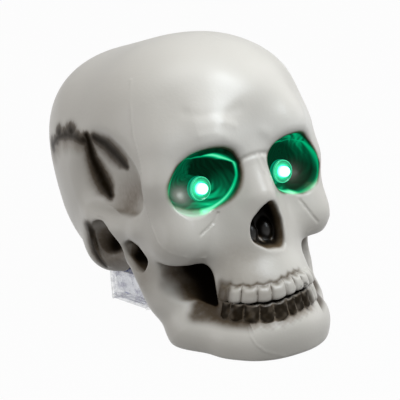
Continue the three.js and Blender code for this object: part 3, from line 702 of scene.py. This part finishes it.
def nose_gloss(p):
    """Wet-looking lacquer on the two lumps inside the nose."""
    x, y, z = p.T
    inside = (nose_space(x, y, z) < 2.0) & (y < -30)
    return inside * np.exp(-(((np.abs(x) - 4.2) / 3.4) ** 2) - ((z - 49) / 5) ** 2)


def paint_mouth(x, y, z):
    """Dark and brown on the teeth and the gums round them."""
    angle, (us, uv), (ls, lv) = mouth_cells(x, y, z)
    ends = np.where(angle < 0, step(-82, -74, angle), step(40, 26, angle))
    wild = ragged(angle, 3 * z, 4.0)
    # Brown line above each tooth along the gum: brown paint, partly painted shade in the crease.
    gum = np.exp(-(((uv - 1.12 - 0.12 * us) / 0.26) ** 2)) * (0.8 + 0.2 * wild)
    between = step(0.82, 0.98, us) * step(1.4, 1.0, uv) * step(-1.1, -0.9, uv) * 0.7
    gap = step(-0.9, -1.02, uv) * step(0.9, 1.02, lv)
    sides = step(1.02, 0.86, ls + 0.05 * wild)
    fill = sides * step(-1.15, -0.85, lv + 0.12 * wild - 0.22 * ls**2) * step(0.97, 0.74, lv + 0.05 * wild)
    fill = fill * (1 - 0.26 * step(-0.2, 0.8, ragged(angle, 2.2 * z, 8.0)))
    below = step(-2.0 + 0.3 * wild, -0.9, lv) * step(1.1, 0.9, lv)
    corner = step(-56, -67, angle) * step(2.2, 1.0, uv) * step(-2.2, -1.2, lv)
    far_end = step(12, 22, angle) * step(-1.6, -1.0, lv) * step(0.2, -0.5, uv) * step(-0.1, 0.5, wild)
    dark = np.maximum(np.maximum(gap, 0.9 * fill), np.maximum(0.8 * far_end, 0.4 * corner))
    dark = np.maximum(dark, np.maximum(0.35 * gum, 0.3 * between))
    brown = np.maximum(np.maximum(gum, between), np.maximum(0.9 * below, 0.85 * corner))
    return ends * dark, ends * brown


def paint_sockets(x, y, z):
    """Dark paint in the eye sockets, thin where it is worn, on a patch that also stands in for a painted
    reflection.
    """
    angle, _, share = socket_polar(x, z)
    start, full = by_angle(angle, SOCKET_PAINT)
    far = (x > 0) * step(262, 285, angle) * step(360, 345, angle)
    start = start + 0.08 * far
    full = full + 0.1 * far
    face = near_socket(x, y, z, 4.0)
    # Worn patch, which is also a painted reflection: the paint is thinned there.
    worn = socket_wear_and_reflection(x, angle, share)
    core = face * step(start, full, share) * (1 - 0.9 * worn)
    haze = face * step(start + 0.07, full + 0.03, share) * (1 - 0.85 * worn)
    return [(core, haze)]


def paint_nose(x, y, z, depth):
    """Dark paint in the nose, with painted glints as small bare spots deep in it."""
    nose = nose_space(x, y, z) < 2.0
    # Painted glints: the dark coat is left off in small spots.
    glints = sum(np.exp(-(((x - a) / 0.8) ** 2) - ((z - b) / 1.6) ** 2) for a, b in NOSE_PAINTED_GLINTS)
    coat = nose * (1 - np.clip(glints, 0, 1) * step(5, 7.5, depth))
    return [(coat * step(1.2, 6, depth), coat * step(0.0, 2.2, depth))]


def paint_cheek(x, y, z, depth):
    """Dark paint in the hollow behind the upper jaw, and on the lip below it."""
    wide = np.abs(x)
    cheek = cheek_space(x, y, z) < 2.0
    back = 0.643 * wide + 0.766 * y + 0.6 * ragged(z, wide, 6.0)
    pale_line = 1 - 0.6 * np.exp(-(((z - 20.3) / 0.45) ** 2))
    low = np.maximum(33 - z, 0)
    core = step(0.5, -14.5, back + 0.8 * low) * step(16.5, 19, z) * pale_line
    haze = step(2, -6, back + 0.85 * low) * step(12, 18, z)
    lip = step(-12.5, -19.5, back) * step(12.5, 18, z) * step(24, 20.5, z) * (y < -34) * (wide > 20)
    hollow = (cheek * core * step(0.2, 1.0, depth), cheek * haze * step(0.0, 0.6, depth))
    return [hollow, (0.4 * lip, 0.85 * lip)]


def paint_sides(x, y, z, depth):
    """Dark paint in the pockets behind the jaw and under the cheek's arch, and a haze below them."""
    wide = np.abs(x)
    pockets = side_space(x, y, z) < 2.0
    ridge = np.exp(-((line_gap(np.stack([wide, y, z], 1), MASTOID) / 1.3) ** 2))
    ear = step(10, 0, np.hypot(y - 4, (z - 35) * 0.75)) * (1 - 0.7 * ridge)
    arch = step(-14, -18.5, y) * step(31, 36, z)
    core = np.where(y > -14, 0.12 + 0.84 * ear, 0.14 + 0.84 * arch)
    deep = (pockets * step(0.6, 2.6, depth) * core, pockets * step(0.1, 1.4, depth) * (0.5 + 0.5 * core))
    below = step(17, 9, np.hypot((y - 3) * 0.9, z - 25)) * (z < 40) * (y > -12) * (wide > SIDE_FROM)
    return [deep, (0.12 * below, 0.72 * below * (1 - 0.5 * ridge))]


def paint_strokes(x, y, z):
    """Airbrushed strokes and the dabbed seam on the skull's sides."""
    side = np.abs(x) > SIDE_FROM
    mirrored = np.stack([np.abs(x), y, z], 1)
    back, up = mirrored @ SPRAY_BACK, mirrored @ SPRAY_UP
    strokes = [(back, up, STROKE_FRONT, 0.74), (back, up, STROKE_REAR, 0.84)]
    strokes += [(back, up, MASTOID_BAND, 0.7), (y, z, SEAM, 0.66)]
    coats = []
    for a, b, line, strength in strokes:
        share = stroke_share(a, b, line) + 0.06 * ragged(y, z, 3.0)
        flat = np.where(share < 0, step(-1.3, -0.4, share), step(1.75, 0.15, share))
        core = 0.72 * flat + 0.28 * step(0.9, 0.0, np.abs(share))
        haze = np.where(share < 0, step(-1.7, -0.6, share), step(2.3, 0.4, share))
        coats.append((side * strength * core, side * haze * 0.85))
    for at_y, at_z, long, high, strength in SEAM_DABS:
        away = np.hypot((y - at_y) / long, (z - at_z) / high) + 0.12 * ragged(y, z, 2.0)
        below = np.hypot((y - at_y) / (long + 3), (z - at_z + 2.5) / (high + 4))
        coats.append((side * 0.8 * strength * step(1.6, 0.0, away), side * 0.7 * step(1.3, 0.2, below)))
    return coats


def paint_hazes_and_shade(x, y, z, depth):
    """Brown haze alone: in the temple's lower corner, on the jaw partly as painted shade, and as painted
    shade on the upper jaw.
    """
    temple = temple_space(x, y, z) < 1.5
    corner = step(34, 6, np.hypot(y + 24, (z - 60) * 1.3)) * step(0.2, 2.4, depth)
    # Brown haze on the jaw's side, partly painted shade.
    jaw = step(17, 4, np.hypot(y + 24, (z - 32) * 0.9)) * (np.abs(x) > SIDE_FROM) * (z < 44)
    # Painted shade: brown haze on the near side of the upper jaw.
    upper_jaw = step(16, 5, np.hypot(x + 15, (z - 37) * 0.9)) * (y < -44)
    return [(0, 0.9 * temple * corner), (0, 0.5 * jaw), (0, 0.3 * upper_jaw)]


def paint(p):
    """Masks of the sprayed paint by place: dark and brown."""
    x, y, z = p.T
    depth = -skull_form(x, y, z)
    coats = paint_sockets(x, y, z) + paint_nose(x, y, z, depth) + paint_cheek(x, y, z, depth)
    coats += paint_sides(x, y, z, depth) + paint_strokes(x, y, z) + paint_hazes_and_shade(x, y, z, depth)
    dark = np.zeros(len(p))
    brown = np.zeros(len(p))
    for core, haze in coats:
        dark = np.maximum(dark, core)
        brown = np.maximum(brown, haze)
    dark = 1 - (1 - np.clip(dark, 0, 1)) ** 1.5
    brown = np.maximum(brown, step(0.0, 0.5, dark))
    mouth = (np.abs(x) < 34) & (y < -44) & (z > 11) & (z < 38)
    core, haze = paint_mouth(x[mouth], y[mouth], z[mouth])
    dark[mouth] = np.maximum(dark[mouth], core)
    brown[mouth] = np.maximum(brown[mouth], haze)
    return dark, np.clip(brown, 0, 1)


def make_mesh(name, points, faces):
    """A smooth mesh object in the part's frame, from millimetres."""
    mesh = bpy.data.meshes.new(name)
    mesh.from_pydata(points * MM, [], faces)
    mesh.polygons.foreach_set("use_smooth", [True] * len(mesh.polygons))
    piece = bpy.data.objects.new(name, mesh)
    bpy.context.scene.collection.objects.link(piece)
    return piece


def mask(piece, name, values):
    """Keeps one number per point for the materials."""
    layer = piece.data.attributes.new(name, "FLOAT", "POINT")
    layer.data.foreach_set("value", np.asarray(values, np.float32))


def build_skull():
    """The moulded skull as one closed surface with its paint masks."""
    axes = [spans(*stretches) for stretches in (GRID_X, GRID_Y, GRID_Z)]
    points, quads = surface_net(axes, sample(axes, full_form))
    points, quads = split_quads(points, quads)
    points = settle(points, full_form)
    dark, brown = paint(points)
    masks = {
        "dark": dark,
        "brown": brown,
        # The lamps' light painted as a glow in the sockets.
        "glow": lamp_glow(points),
        "gloss": nose_gloss(points),
        # Painted light on the sockets' worn patches, as a reflection.
        "lit": painted_patch_light(points),
        # The tone mask: painted shade on the lower face and painted light on the brow.
        "tone": painted_face_shade_and_light(points),
    }

    def lined(x, y, z):
        return full_form(x, y, z) - relief(np.stack([x, y, z], 1))

    points = settle(points, lined, 1)
    piece = make_mesh("skull_moulding", points + (0, SHIFT_Y, 0), quads)
    for name, values in masks.items():
        mask(piece, name, values)
    return piece


class Shader:
    """A node material with its Principled shader and a short way to add nodes."""

    def __init__(self, name, **values):
        self.material = bpy.data.materials.new(name)
        self.material.use_nodes = True
        self.tree = self.material.node_tree
        self.main = self.tree.nodes["Principled BSDF"]
        for key, value in values.items():
            self.main.inputs[key].default_value = value
        self.place = self.add("ShaderNodeTexCoord").outputs["Object"]

    def add(self, kind, **values):
        node = self.tree.nodes.new(kind)
        for key, value in values.items():
            setattr(node, key, value)
        return node

    def link(self, a, b):
        self.tree.links.new(a, b)

    def noise(self, scale, detail=2.0):
        node = self.add("ShaderNodeTexNoise")
        node.inputs["Scale"].default_value = scale
        node.inputs["Detail"].default_value = detail
        self.link(self.place, node.inputs["Vector"])
        return node.outputs["Fac"]

    def attribute(self, name):
        node = self.add("ShaderNodeAttribute")
        node.attribute_name = name
        return node.outputs["Fac"]

    def ramp(self, fac, stops):
        node = self.add("ShaderNodeValToRGB")
        line = node.color_ramp.elements
        while len(line) < len(stops):
            line.new(0.5)
        for element, (at, colour) in zip(line, stops):
            element.position = at
            element.color = (*colour, 1)
        self.link(fac, node.inputs["Fac"])
        return node.outputs["Color"]

    def mix(self, fac, a, b):
        node = self.add("ShaderNodeMix", data_type="RGBA")
        for socket, value in ((node.inputs["Factor"], fac), (node.inputs["A"], a), (node.inputs["B"], b)):
            self.put(socket, value)
        return node.outputs["Result"]

    def math(self, operation, a, b=0.0, clamp=False):
        node = self.add("ShaderNodeMath", operation=operation, use_clamp=clamp)
        self.put(node.inputs[0], a)
        self.put(node.inputs[1], b)
        return node.outputs["Value"]

    def put(self, socket, value):
        if isinstance(value, bpy.types.NodeSocket):
            self.link(value, socket)
        elif isinstance(value, tuple):
            socket.default_value = (*value, 1)
        else:
            socket.default_value = value

    def bump(self, height, strength, distance):
        node = self.add("ShaderNodeBump")
        node.inputs["Strength"].default_value = strength
        node.inputs["Distance"].default_value = distance
        self.link(height, node.inputs["Height"])
        self.link(node.outputs["Normal"], self.main.inputs["Normal"])

    def colour(self, value):
        self.link(value, self.main.inputs["Base Color"])

    def shine(self, value, strength):
        self.link(value, self.main.inputs["Emission Color"])
        self.main.inputs["Emission Strength"].default_value = strength

    def rough(self, fac, low, high):
        node = self.add("ShaderNodeMapRange")
        node.inputs["To Min"].default_value = low
        node.inputs["To Max"].default_value = high
        self.link(fac, node.inputs["Value"])
        self.link(node.outputs["Result"], self.main.inputs["Roughness"])


def as_light(colour):
    """A colour given as seen on screen, as light."""
    return tuple(((c / 255 + 0.055) / 1.055) ** 2.4 if c > 10 else c / 255 / 12.92 for c in colour)


# Bare plastic in its darker and its paler clouds: with painted shade on the lower face, in most places, and
# with painted light on the brow
BONE_DARKER = [(0.0, (160, 156, 149)), (0.5, (173, 169, 162)), (1.0, (185, 182, 176))]
BONE_PALER = [(0.0, (168, 164, 157)), (0.5, (182, 178, 171)), (1.0, (194, 191, 185))]
BROWN_PAINT = (80, 62, 36)
BLACK_PAINT = (10, 7, 4)
# The lamps' light painted as a glow on the socket walls by strength, and painted as a reflection on their
# worn patches
SOCKET_GREENS = [(0.0, (0, 0, 0)), (0.3, (0, 92, 60)), (0.7, (0, 200, 132)), (1.0, (120, 255, 200))]
PATCH_LIGHT_GREY = (140, 146, 142)
# Light of a lens from its foot to its tip, and the light painted as a glow on its ring from the lens
# outwards
LENS_GREENS = [(0.1, (0.0, 0.12, 0.06)), (0.3, (0.04, 0.5, 0.27)), (0.5, (0.2, 1.0, 0.55))]
RING_GREENS = [
    (0.0, (0.03, 0.5, 0.28)),
    (0.25, (0.0, 0.3, 0.16)),
    (0.8, (0.0, 0.12, 0.06)),
    (0.92, (0.03, 0.42, 0.23)),
]
# Clear box: its two clouds, and its specks, partly painted reflections
CLEAR_CLOUDS = ((222, 228, 238), (240, 243, 248))
CLEAR_SPECKS_AND_REFLECTIONS = (158, 157, 184)


def screen_stops(stops):
    """Stops of a ramp whose colours are given as seen on screen."""
    return [(at, as_light(colour)) for at, colour in stops]


def bone_material():
    """Grey-white moulded plastic with sprayed brown and black paint, painted shade and light, and the lamps'
    light painted in its sockets.
    """
    s = Shader("bone_plastic")
    cloud = s.noise(38, 3)
    fine = s.noise(420, 2)
    # The tone holds painted shade on the lower face and painted light on the brow.
    tone = s.attribute("tone")
    darker = s.ramp(tone, screen_stops(BONE_DARKER))
    base = s.mix(cloud, darker, s.ramp(tone, screen_stops(BONE_PALER)))
    speck = s.math("MULTIPLY", s.math("SUBTRACT", fine, 0.5), 0.5)
    haze = s.attribute("brown")
    brown = s.math("MULTIPLY", s.math("ADD", haze, s.math("MULTIPLY", speck, haze), True), 0.94)
    tinted = s.mix(brown, base, as_light(BROWN_PAINT))
    dark = s.attribute("dark")
    s.colour(s.mix(dark, tinted, as_light(BLACK_PAINT)))
    sheen = s.math("SUBTRACT", 0.5, s.math("MULTIPLY", dark, 0.54), True)
    lacquer = s.math("MULTIPLY", s.attribute("gloss"), 0.5)
    s.link(s.math("ADD", sheen, lacquer), s.main.inputs["Specular IOR Level"])
    # Emission: the lamps' light painted as a green glow on the socket walls.
    green = s.ramp(s.attribute("glow"), screen_stops(SOCKET_GREENS))
    # The pale light painted as a reflection on the worn patches.
    s.shine(s.mix(s.attribute("lit"), green, as_light(PATCH_LIGHT_GREY)), 1.0)
    s.rough(cloud, 0.3, 0.38)
    s.bump(s.noise(700, 1), 0.1, 0.0004)
    return s.material


def lamp_material():
    """Lit lens of a lamp: white at its tip, green down its side."""
    s = Shader("lamp_lens", Roughness=0.15)
    uneven = s.math("MULTIPLY", s.noise(300), 0.06)
    tone = s.ramp(s.math("ADD", s.attribute("along"), uneven), LENS_GREENS)
    s.colour(tone)
    s.shine(tone, 5)
    return s.material


def ring_material():
    """Clear ring whose carried lamp light is painted as a glow: bright round the lens and at its rim."""
    s = Shader("clear_holder", Roughness=0.2)
    uneven = s.math("MULTIPLY", s.noise(260), 0.04)
    tone = s.ramp(s.math("ADD", s.attribute("out"), uneven), RING_GREENS)
    s.colour(tone)
    s.shine(tone, 1.0)
    return s.material


def simple_material(name, low, high, rough, metal):
    """A material with two near tones and a little unevenness."""
    s = Shader(name, Metallic=metal)
    grain = s.noise(120, 3)
    s.colour(s.mix(grain, as_light(low), as_light(high)))
    s.rough(grain, rough, rough + 0.1)
    s.bump(s.noise(720, 1), 0.08, 0.0003)
    return s.material


def clear_material():
    """Clear moulded plastic: see-through face on, denser towards its edges and in faint specks, partly
    painted reflections.
    """
    s = Shader("clear_box", IOR=1.49)
    haze = s.noise(150, 3)
    specks = s.ramp(s.noise(240, 2), [(0.36, (1, 1, 1)), (0.48, (0, 0, 0))])
    clouds = s.mix(haze, *[as_light(colour) for colour in CLEAR_CLOUDS])
    s.colour(s.mix(specks, clouds, as_light(CLEAR_SPECKS_AND_REFLECTIONS)))
    s.rough(haze, 0.06, 0.16)
    s.bump(s.noise(260, 2), 0.15, 0.0004)
    edge = s.add("ShaderNodeLayerWeight")
    edge.inputs["Blend"].default_value = 0.35
    clear = s.math("ADD", s.math("MULTIPLY", edge.outputs["Facing"], 0.45), 0.02)
    cover = s.math("ADD", clear, s.math("MULTIPLY", specks, 0.22))
    s.link(cover, s.main.inputs["Alpha"])
    return s.material


# Plain materials: two near tones, least roughness and share of metal
PLAIN = {
    "black_rubber": ((18, 18, 18), (34, 33, 32), 0.6, 0),
    "cell_wrap": ((28, 46, 150), (40, 62, 176), 0.3, 0),
    "plated_steel": ((232, 232, 234), (246, 246, 248), 0.28, 0.85),
    "red_wire": ((150, 20, 18), (176, 30, 26), 0.4, 0),
    "black_wire": ((16, 16, 17), (30, 30, 30), 0.4, 0),
    "resistor_body": ((186, 150, 108), (200, 166, 122), 0.4, 0),
    "switch_plastic": ((20, 20, 22), (36, 36, 38), 0.4, 0),
}
MATERIALS = {name: simple_material(name, *look) for name, look in PLAIN.items()}
MATERIALS["lamp_lens"] = lamp_material()
MATERIALS["clear_holder"] = ring_material()
MATERIALS["clear_box"] = clear_material()
# Material of each node by the start of its name: the longest start that fits counts
NODE_SLOTS = {
    "led_": "lamp_lens",
    "led_holder": "clear_holder",
    "led_sleeve": "black_rubber",
    "wire_red": "red_wire",
    "wire_black": "black_wire",
    "wire_plus": "red_wire",
    "wire_switch": "black_wire",
    "wire_grommet": "black_rubber",
    "battery": "clear_box",
    "cell": "cell_wrap",
    "spring": "plated_steel",
    "contact": "plated_steel",
    "switch": "switch_plastic",
    "resistor": "resistor_body",
    "case_screw": "plated_steel",
}


# Lens and ring of a lamp: radius and place along the axis, from the lens's tip
LENS_R = 2.5
LENS_FOOT = [(0.02, -8.6), (2.9, -8.6), (2.9, -7.6), (2.5, -7.5)]
RING = [
    (2.8, -7.1),
    (2.8, -4.4),
    (3.0, -4.1),
    (3.4, -4.0),
    (4.2, -4.0),
    (4.8, -3.9),
    (5.0, -3.7),
    (5.2, -3.6),
    (5.4, -3.7),
    (5.5, -4.0),
    (5.5, -6.7),
    (5.3, -6.9),
    (4.0, -6.9),
    (4.0, -13.1),
    (3.3, -13.2),
    (3.3, -7.1),
    (2.8, -7.1),
]


def lathe(name, profile, side, turns=48):
    """A turned piece about a lamp's axis, from radius and place along it."""
    along = Vector((0, LAMP_AXIS[1], LAMP_AXIS[2])).normalized()
    across = Vector((1, 0, 0))
    up = along.cross(across)
    tip = np.array((LAMP_TIP[0] * side, LAMP_TIP[1], LAMP_TIP[2]))
    points, faces = [], []
    for k in range(turns):
        a = 2 * math.pi * k / turns
        way = np.array(across) * math.cos(a) + np.array(up) * math.sin(a)
        points += [tip + way * r + np.array(along) * h for r, h in profile]
    n = len(profile)
    for k in range(turns):
        j = (k + 1) % turns
        for i in range(n - 1):
            faces.append((k * n + i, j * n + i, j * n + i + 1, k * n + i + 1))
    piece = make_mesh(name, np.array(points), faces)
    return piece, np.tile(np.array(profile), (turns, 1))


def build_lamps():
    """The two lit lenses with their clear rings, smooth and round."""
    turns = np.linspace(0, math.pi / 2 - 0.02, 10)
    lens = LENS_FOOT + [(LENS_R * math.cos(a), LENS_R * math.sin(a) - LENS_R) for a in turns]
    for side, tag in ((-1, "right"), (1, "left")):
        piece, place = lathe("lens_" + tag, lens, side)
        mask(piece, "along", np.clip((place[:, 1] + 5) / 5, 0, 1))
        finish_lamp(piece, "led_" + tag, "lamp_lens")
        piece, place = lathe("lamp_ring_" + tag, RING, side)
        front = np.clip((place[:, 1] + 4.6) / 0.6, 0.3, 1)
        mask(piece, "out", np.clip((place[:, 0] - 2.8) / 2.7, 0, 1) * front)
        finish_lamp(piece, "led_holder_" + tag, "clear_holder")


def finish_lamp(piece, node, slot):
    """Puts a lamp piece in its node's place, with its material."""
    piece.data.materials.append(MATERIALS[slot])
    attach(piece, "skull")
    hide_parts(node)


def dress_nodes():
    """Materials of the solids that stay as they are."""
    for name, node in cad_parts.items():
        best = max((k for k in NODE_SLOTS if name.startswith(k)), key=len, default=None)
        if best:
            node.data.materials.clear()
            node.data.materials.append(MATERIALS[NODE_SLOTS[best]])


# Stage: half side of the floor in metres, share of white that the camera sees on it, light all round
FLOOR_REACH = 4.0
FLOOR_WHITE = 0.97
ROUND_LIGHT = 0.58
# Lights: name, direction from the skull, distance and size in metres, power in watts and tone
LIGHTS = [
    ("key", (0.24, -0.56, 0.79), 0.32, (0.09, 0.22), 0.64, (0.88, 0.95, 1)),
    ("top", (-0.02, -0.18, 0.97), 1.0, (0.9, 0.9), 4.9, (0.95, 0.98, 1)),
    ("left", (-0.95, 0.2, 0.14), 1.0, (0.8, 0.6), 2.6, (1, 1, 1)),
    ("right", (0.9, -0.1, 0.45), 1.0, (0.6, 0.8), 1.6, (1, 1, 1)),
]
LIGHTS_FACE = (0, 0, 0.06)
# Camera: lens and sensor in millimetres, shift, turn and rise in degrees, distance and target in metres
LENS = 110.7
SENSOR = 36
LENS_SHIFT = 0.01
VIEW_TURN = -35
VIEW_RISE = 18
VIEW_FAR = 0.6
VIEW_AT = (0, -0.00374, 0.052)


def add_floor():
    """A white floor that looks white to the camera and keeps the shadow."""
    mesh = bpy.data.meshes.new("floor")
    corners = [(a * FLOOR_REACH, b * FLOOR_REACH, 0) for a, b in ((-1, -1), (1, -1), (1, 1), (-1, 1))]
    mesh.from_pydata(corners, [], [(0, 1, 2, 3)])
    floor = bpy.data.objects.new("floor", mesh)
    bpy.context.scene.collection.objects.link(floor)
    s = Shader("floor_paper", Roughness=0.9)
    s.colour(s.mix(s.noise(6, 2), (0.18, 0.18, 0.18), (0.2, 0.2, 0.2)))
    glow = s.add("ShaderNodeEmission")
    path = s.add("ShaderNodeLightPath")
    mix = s.add("ShaderNodeMixShader")
    seen = s.math("MAXIMUM", path.outputs["Is Camera Ray"], path.outputs["Is Glossy Ray"])
    s.link(s.math("MULTIPLY", seen, FLOOR_WHITE), mix.inputs["Fac"])
    s.link(s.main.outputs["BSDF"], mix.inputs[1])
    s.link(glow.outputs["Emission"], mix.inputs[2])
    s.link(mix.outputs["Shader"], s.tree.nodes["Material Output"].inputs["Surface"])
    mesh.materials.append(s.material)


def add_world():
    """Soft white light all round, and white for the camera."""
    world = bpy.data.worlds.new("studio")
    bpy.context.scene.world = world
    world.use_nodes = True
    tree = world.node_tree
    ground = tree.nodes["Background"]
    ground.inputs["Color"].default_value = (1, 1, 1, 1)
    ground.inputs["Strength"].default_value = ROUND_LIGHT
    seen = tree.nodes.new("ShaderNodeBackground")
    seen.inputs["Color"].default_value = (1, 1, 1, 1)
    seen.inputs["Strength"].default_value = 1.0
    path = tree.nodes.new("ShaderNodeLightPath")
    mix = tree.nodes.new("ShaderNodeMixShader")
    tree.links.new(path.outputs["Is Camera Ray"], mix.inputs["Fac"])
    tree.links.new(ground.outputs["Background"], mix.inputs[1])
    tree.links.new(seen.outputs["Background"], mix.inputs[2])
    tree.links.new(mix.outputs["Shader"], tree.nodes["World Output"].inputs["Surface"])


def add_lamp(name, direction, distance, size, power, tone):
    """A soft light that faces the skull."""
    light = bpy.data.lights.new(name, "AREA")
    light.shape = "RECTANGLE"
    light.size, light.size_y = size
    light.energy = power
    light.color = tone
    lamp = bpy.data.objects.new(name, light)
    bpy.context.scene.collection.objects.link(lamp)
    way = Vector(direction).normalized()
    lamp.location = Vector(LIGHTS_FACE) + way * distance
    lamp.rotation_euler = way.to_track_quat("Z", "Y").to_euler()


def add_camera():
    """The photograph's view."""
    camera = bpy.data.cameras.new("camera")
    camera.lens = LENS
    camera.sensor_width = SENSOR
    camera.shift_x = LENS_SHIFT
    viewer = bpy.data.objects.new("camera", camera)
    bpy.context.scene.collection.objects.link(viewer)
    turn = math.radians(VIEW_TURN)
    rise = math.radians(VIEW_RISE)
    back = Vector((math.sin(turn) * math.cos(rise), -math.cos(turn) * math.cos(rise), math.sin(rise)))
    viewer.location = Vector(VIEW_AT) + back * VIEW_FAR
    viewer.rotation_euler = back.to_track_quat("Z", "Y").to_euler()
    bpy.context.scene.camera = viewer


skull = build_skull()
skull.data.materials.append(bone_material())
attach(skull, "skull")
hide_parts("skull_shell")
build_lamps()
dress_nodes()
add_floor()
add_world()
for light in LIGHTS:
    add_lamp(*light)
add_camera()
bpy.context.scene.view_settings.view_transform = "Standard"
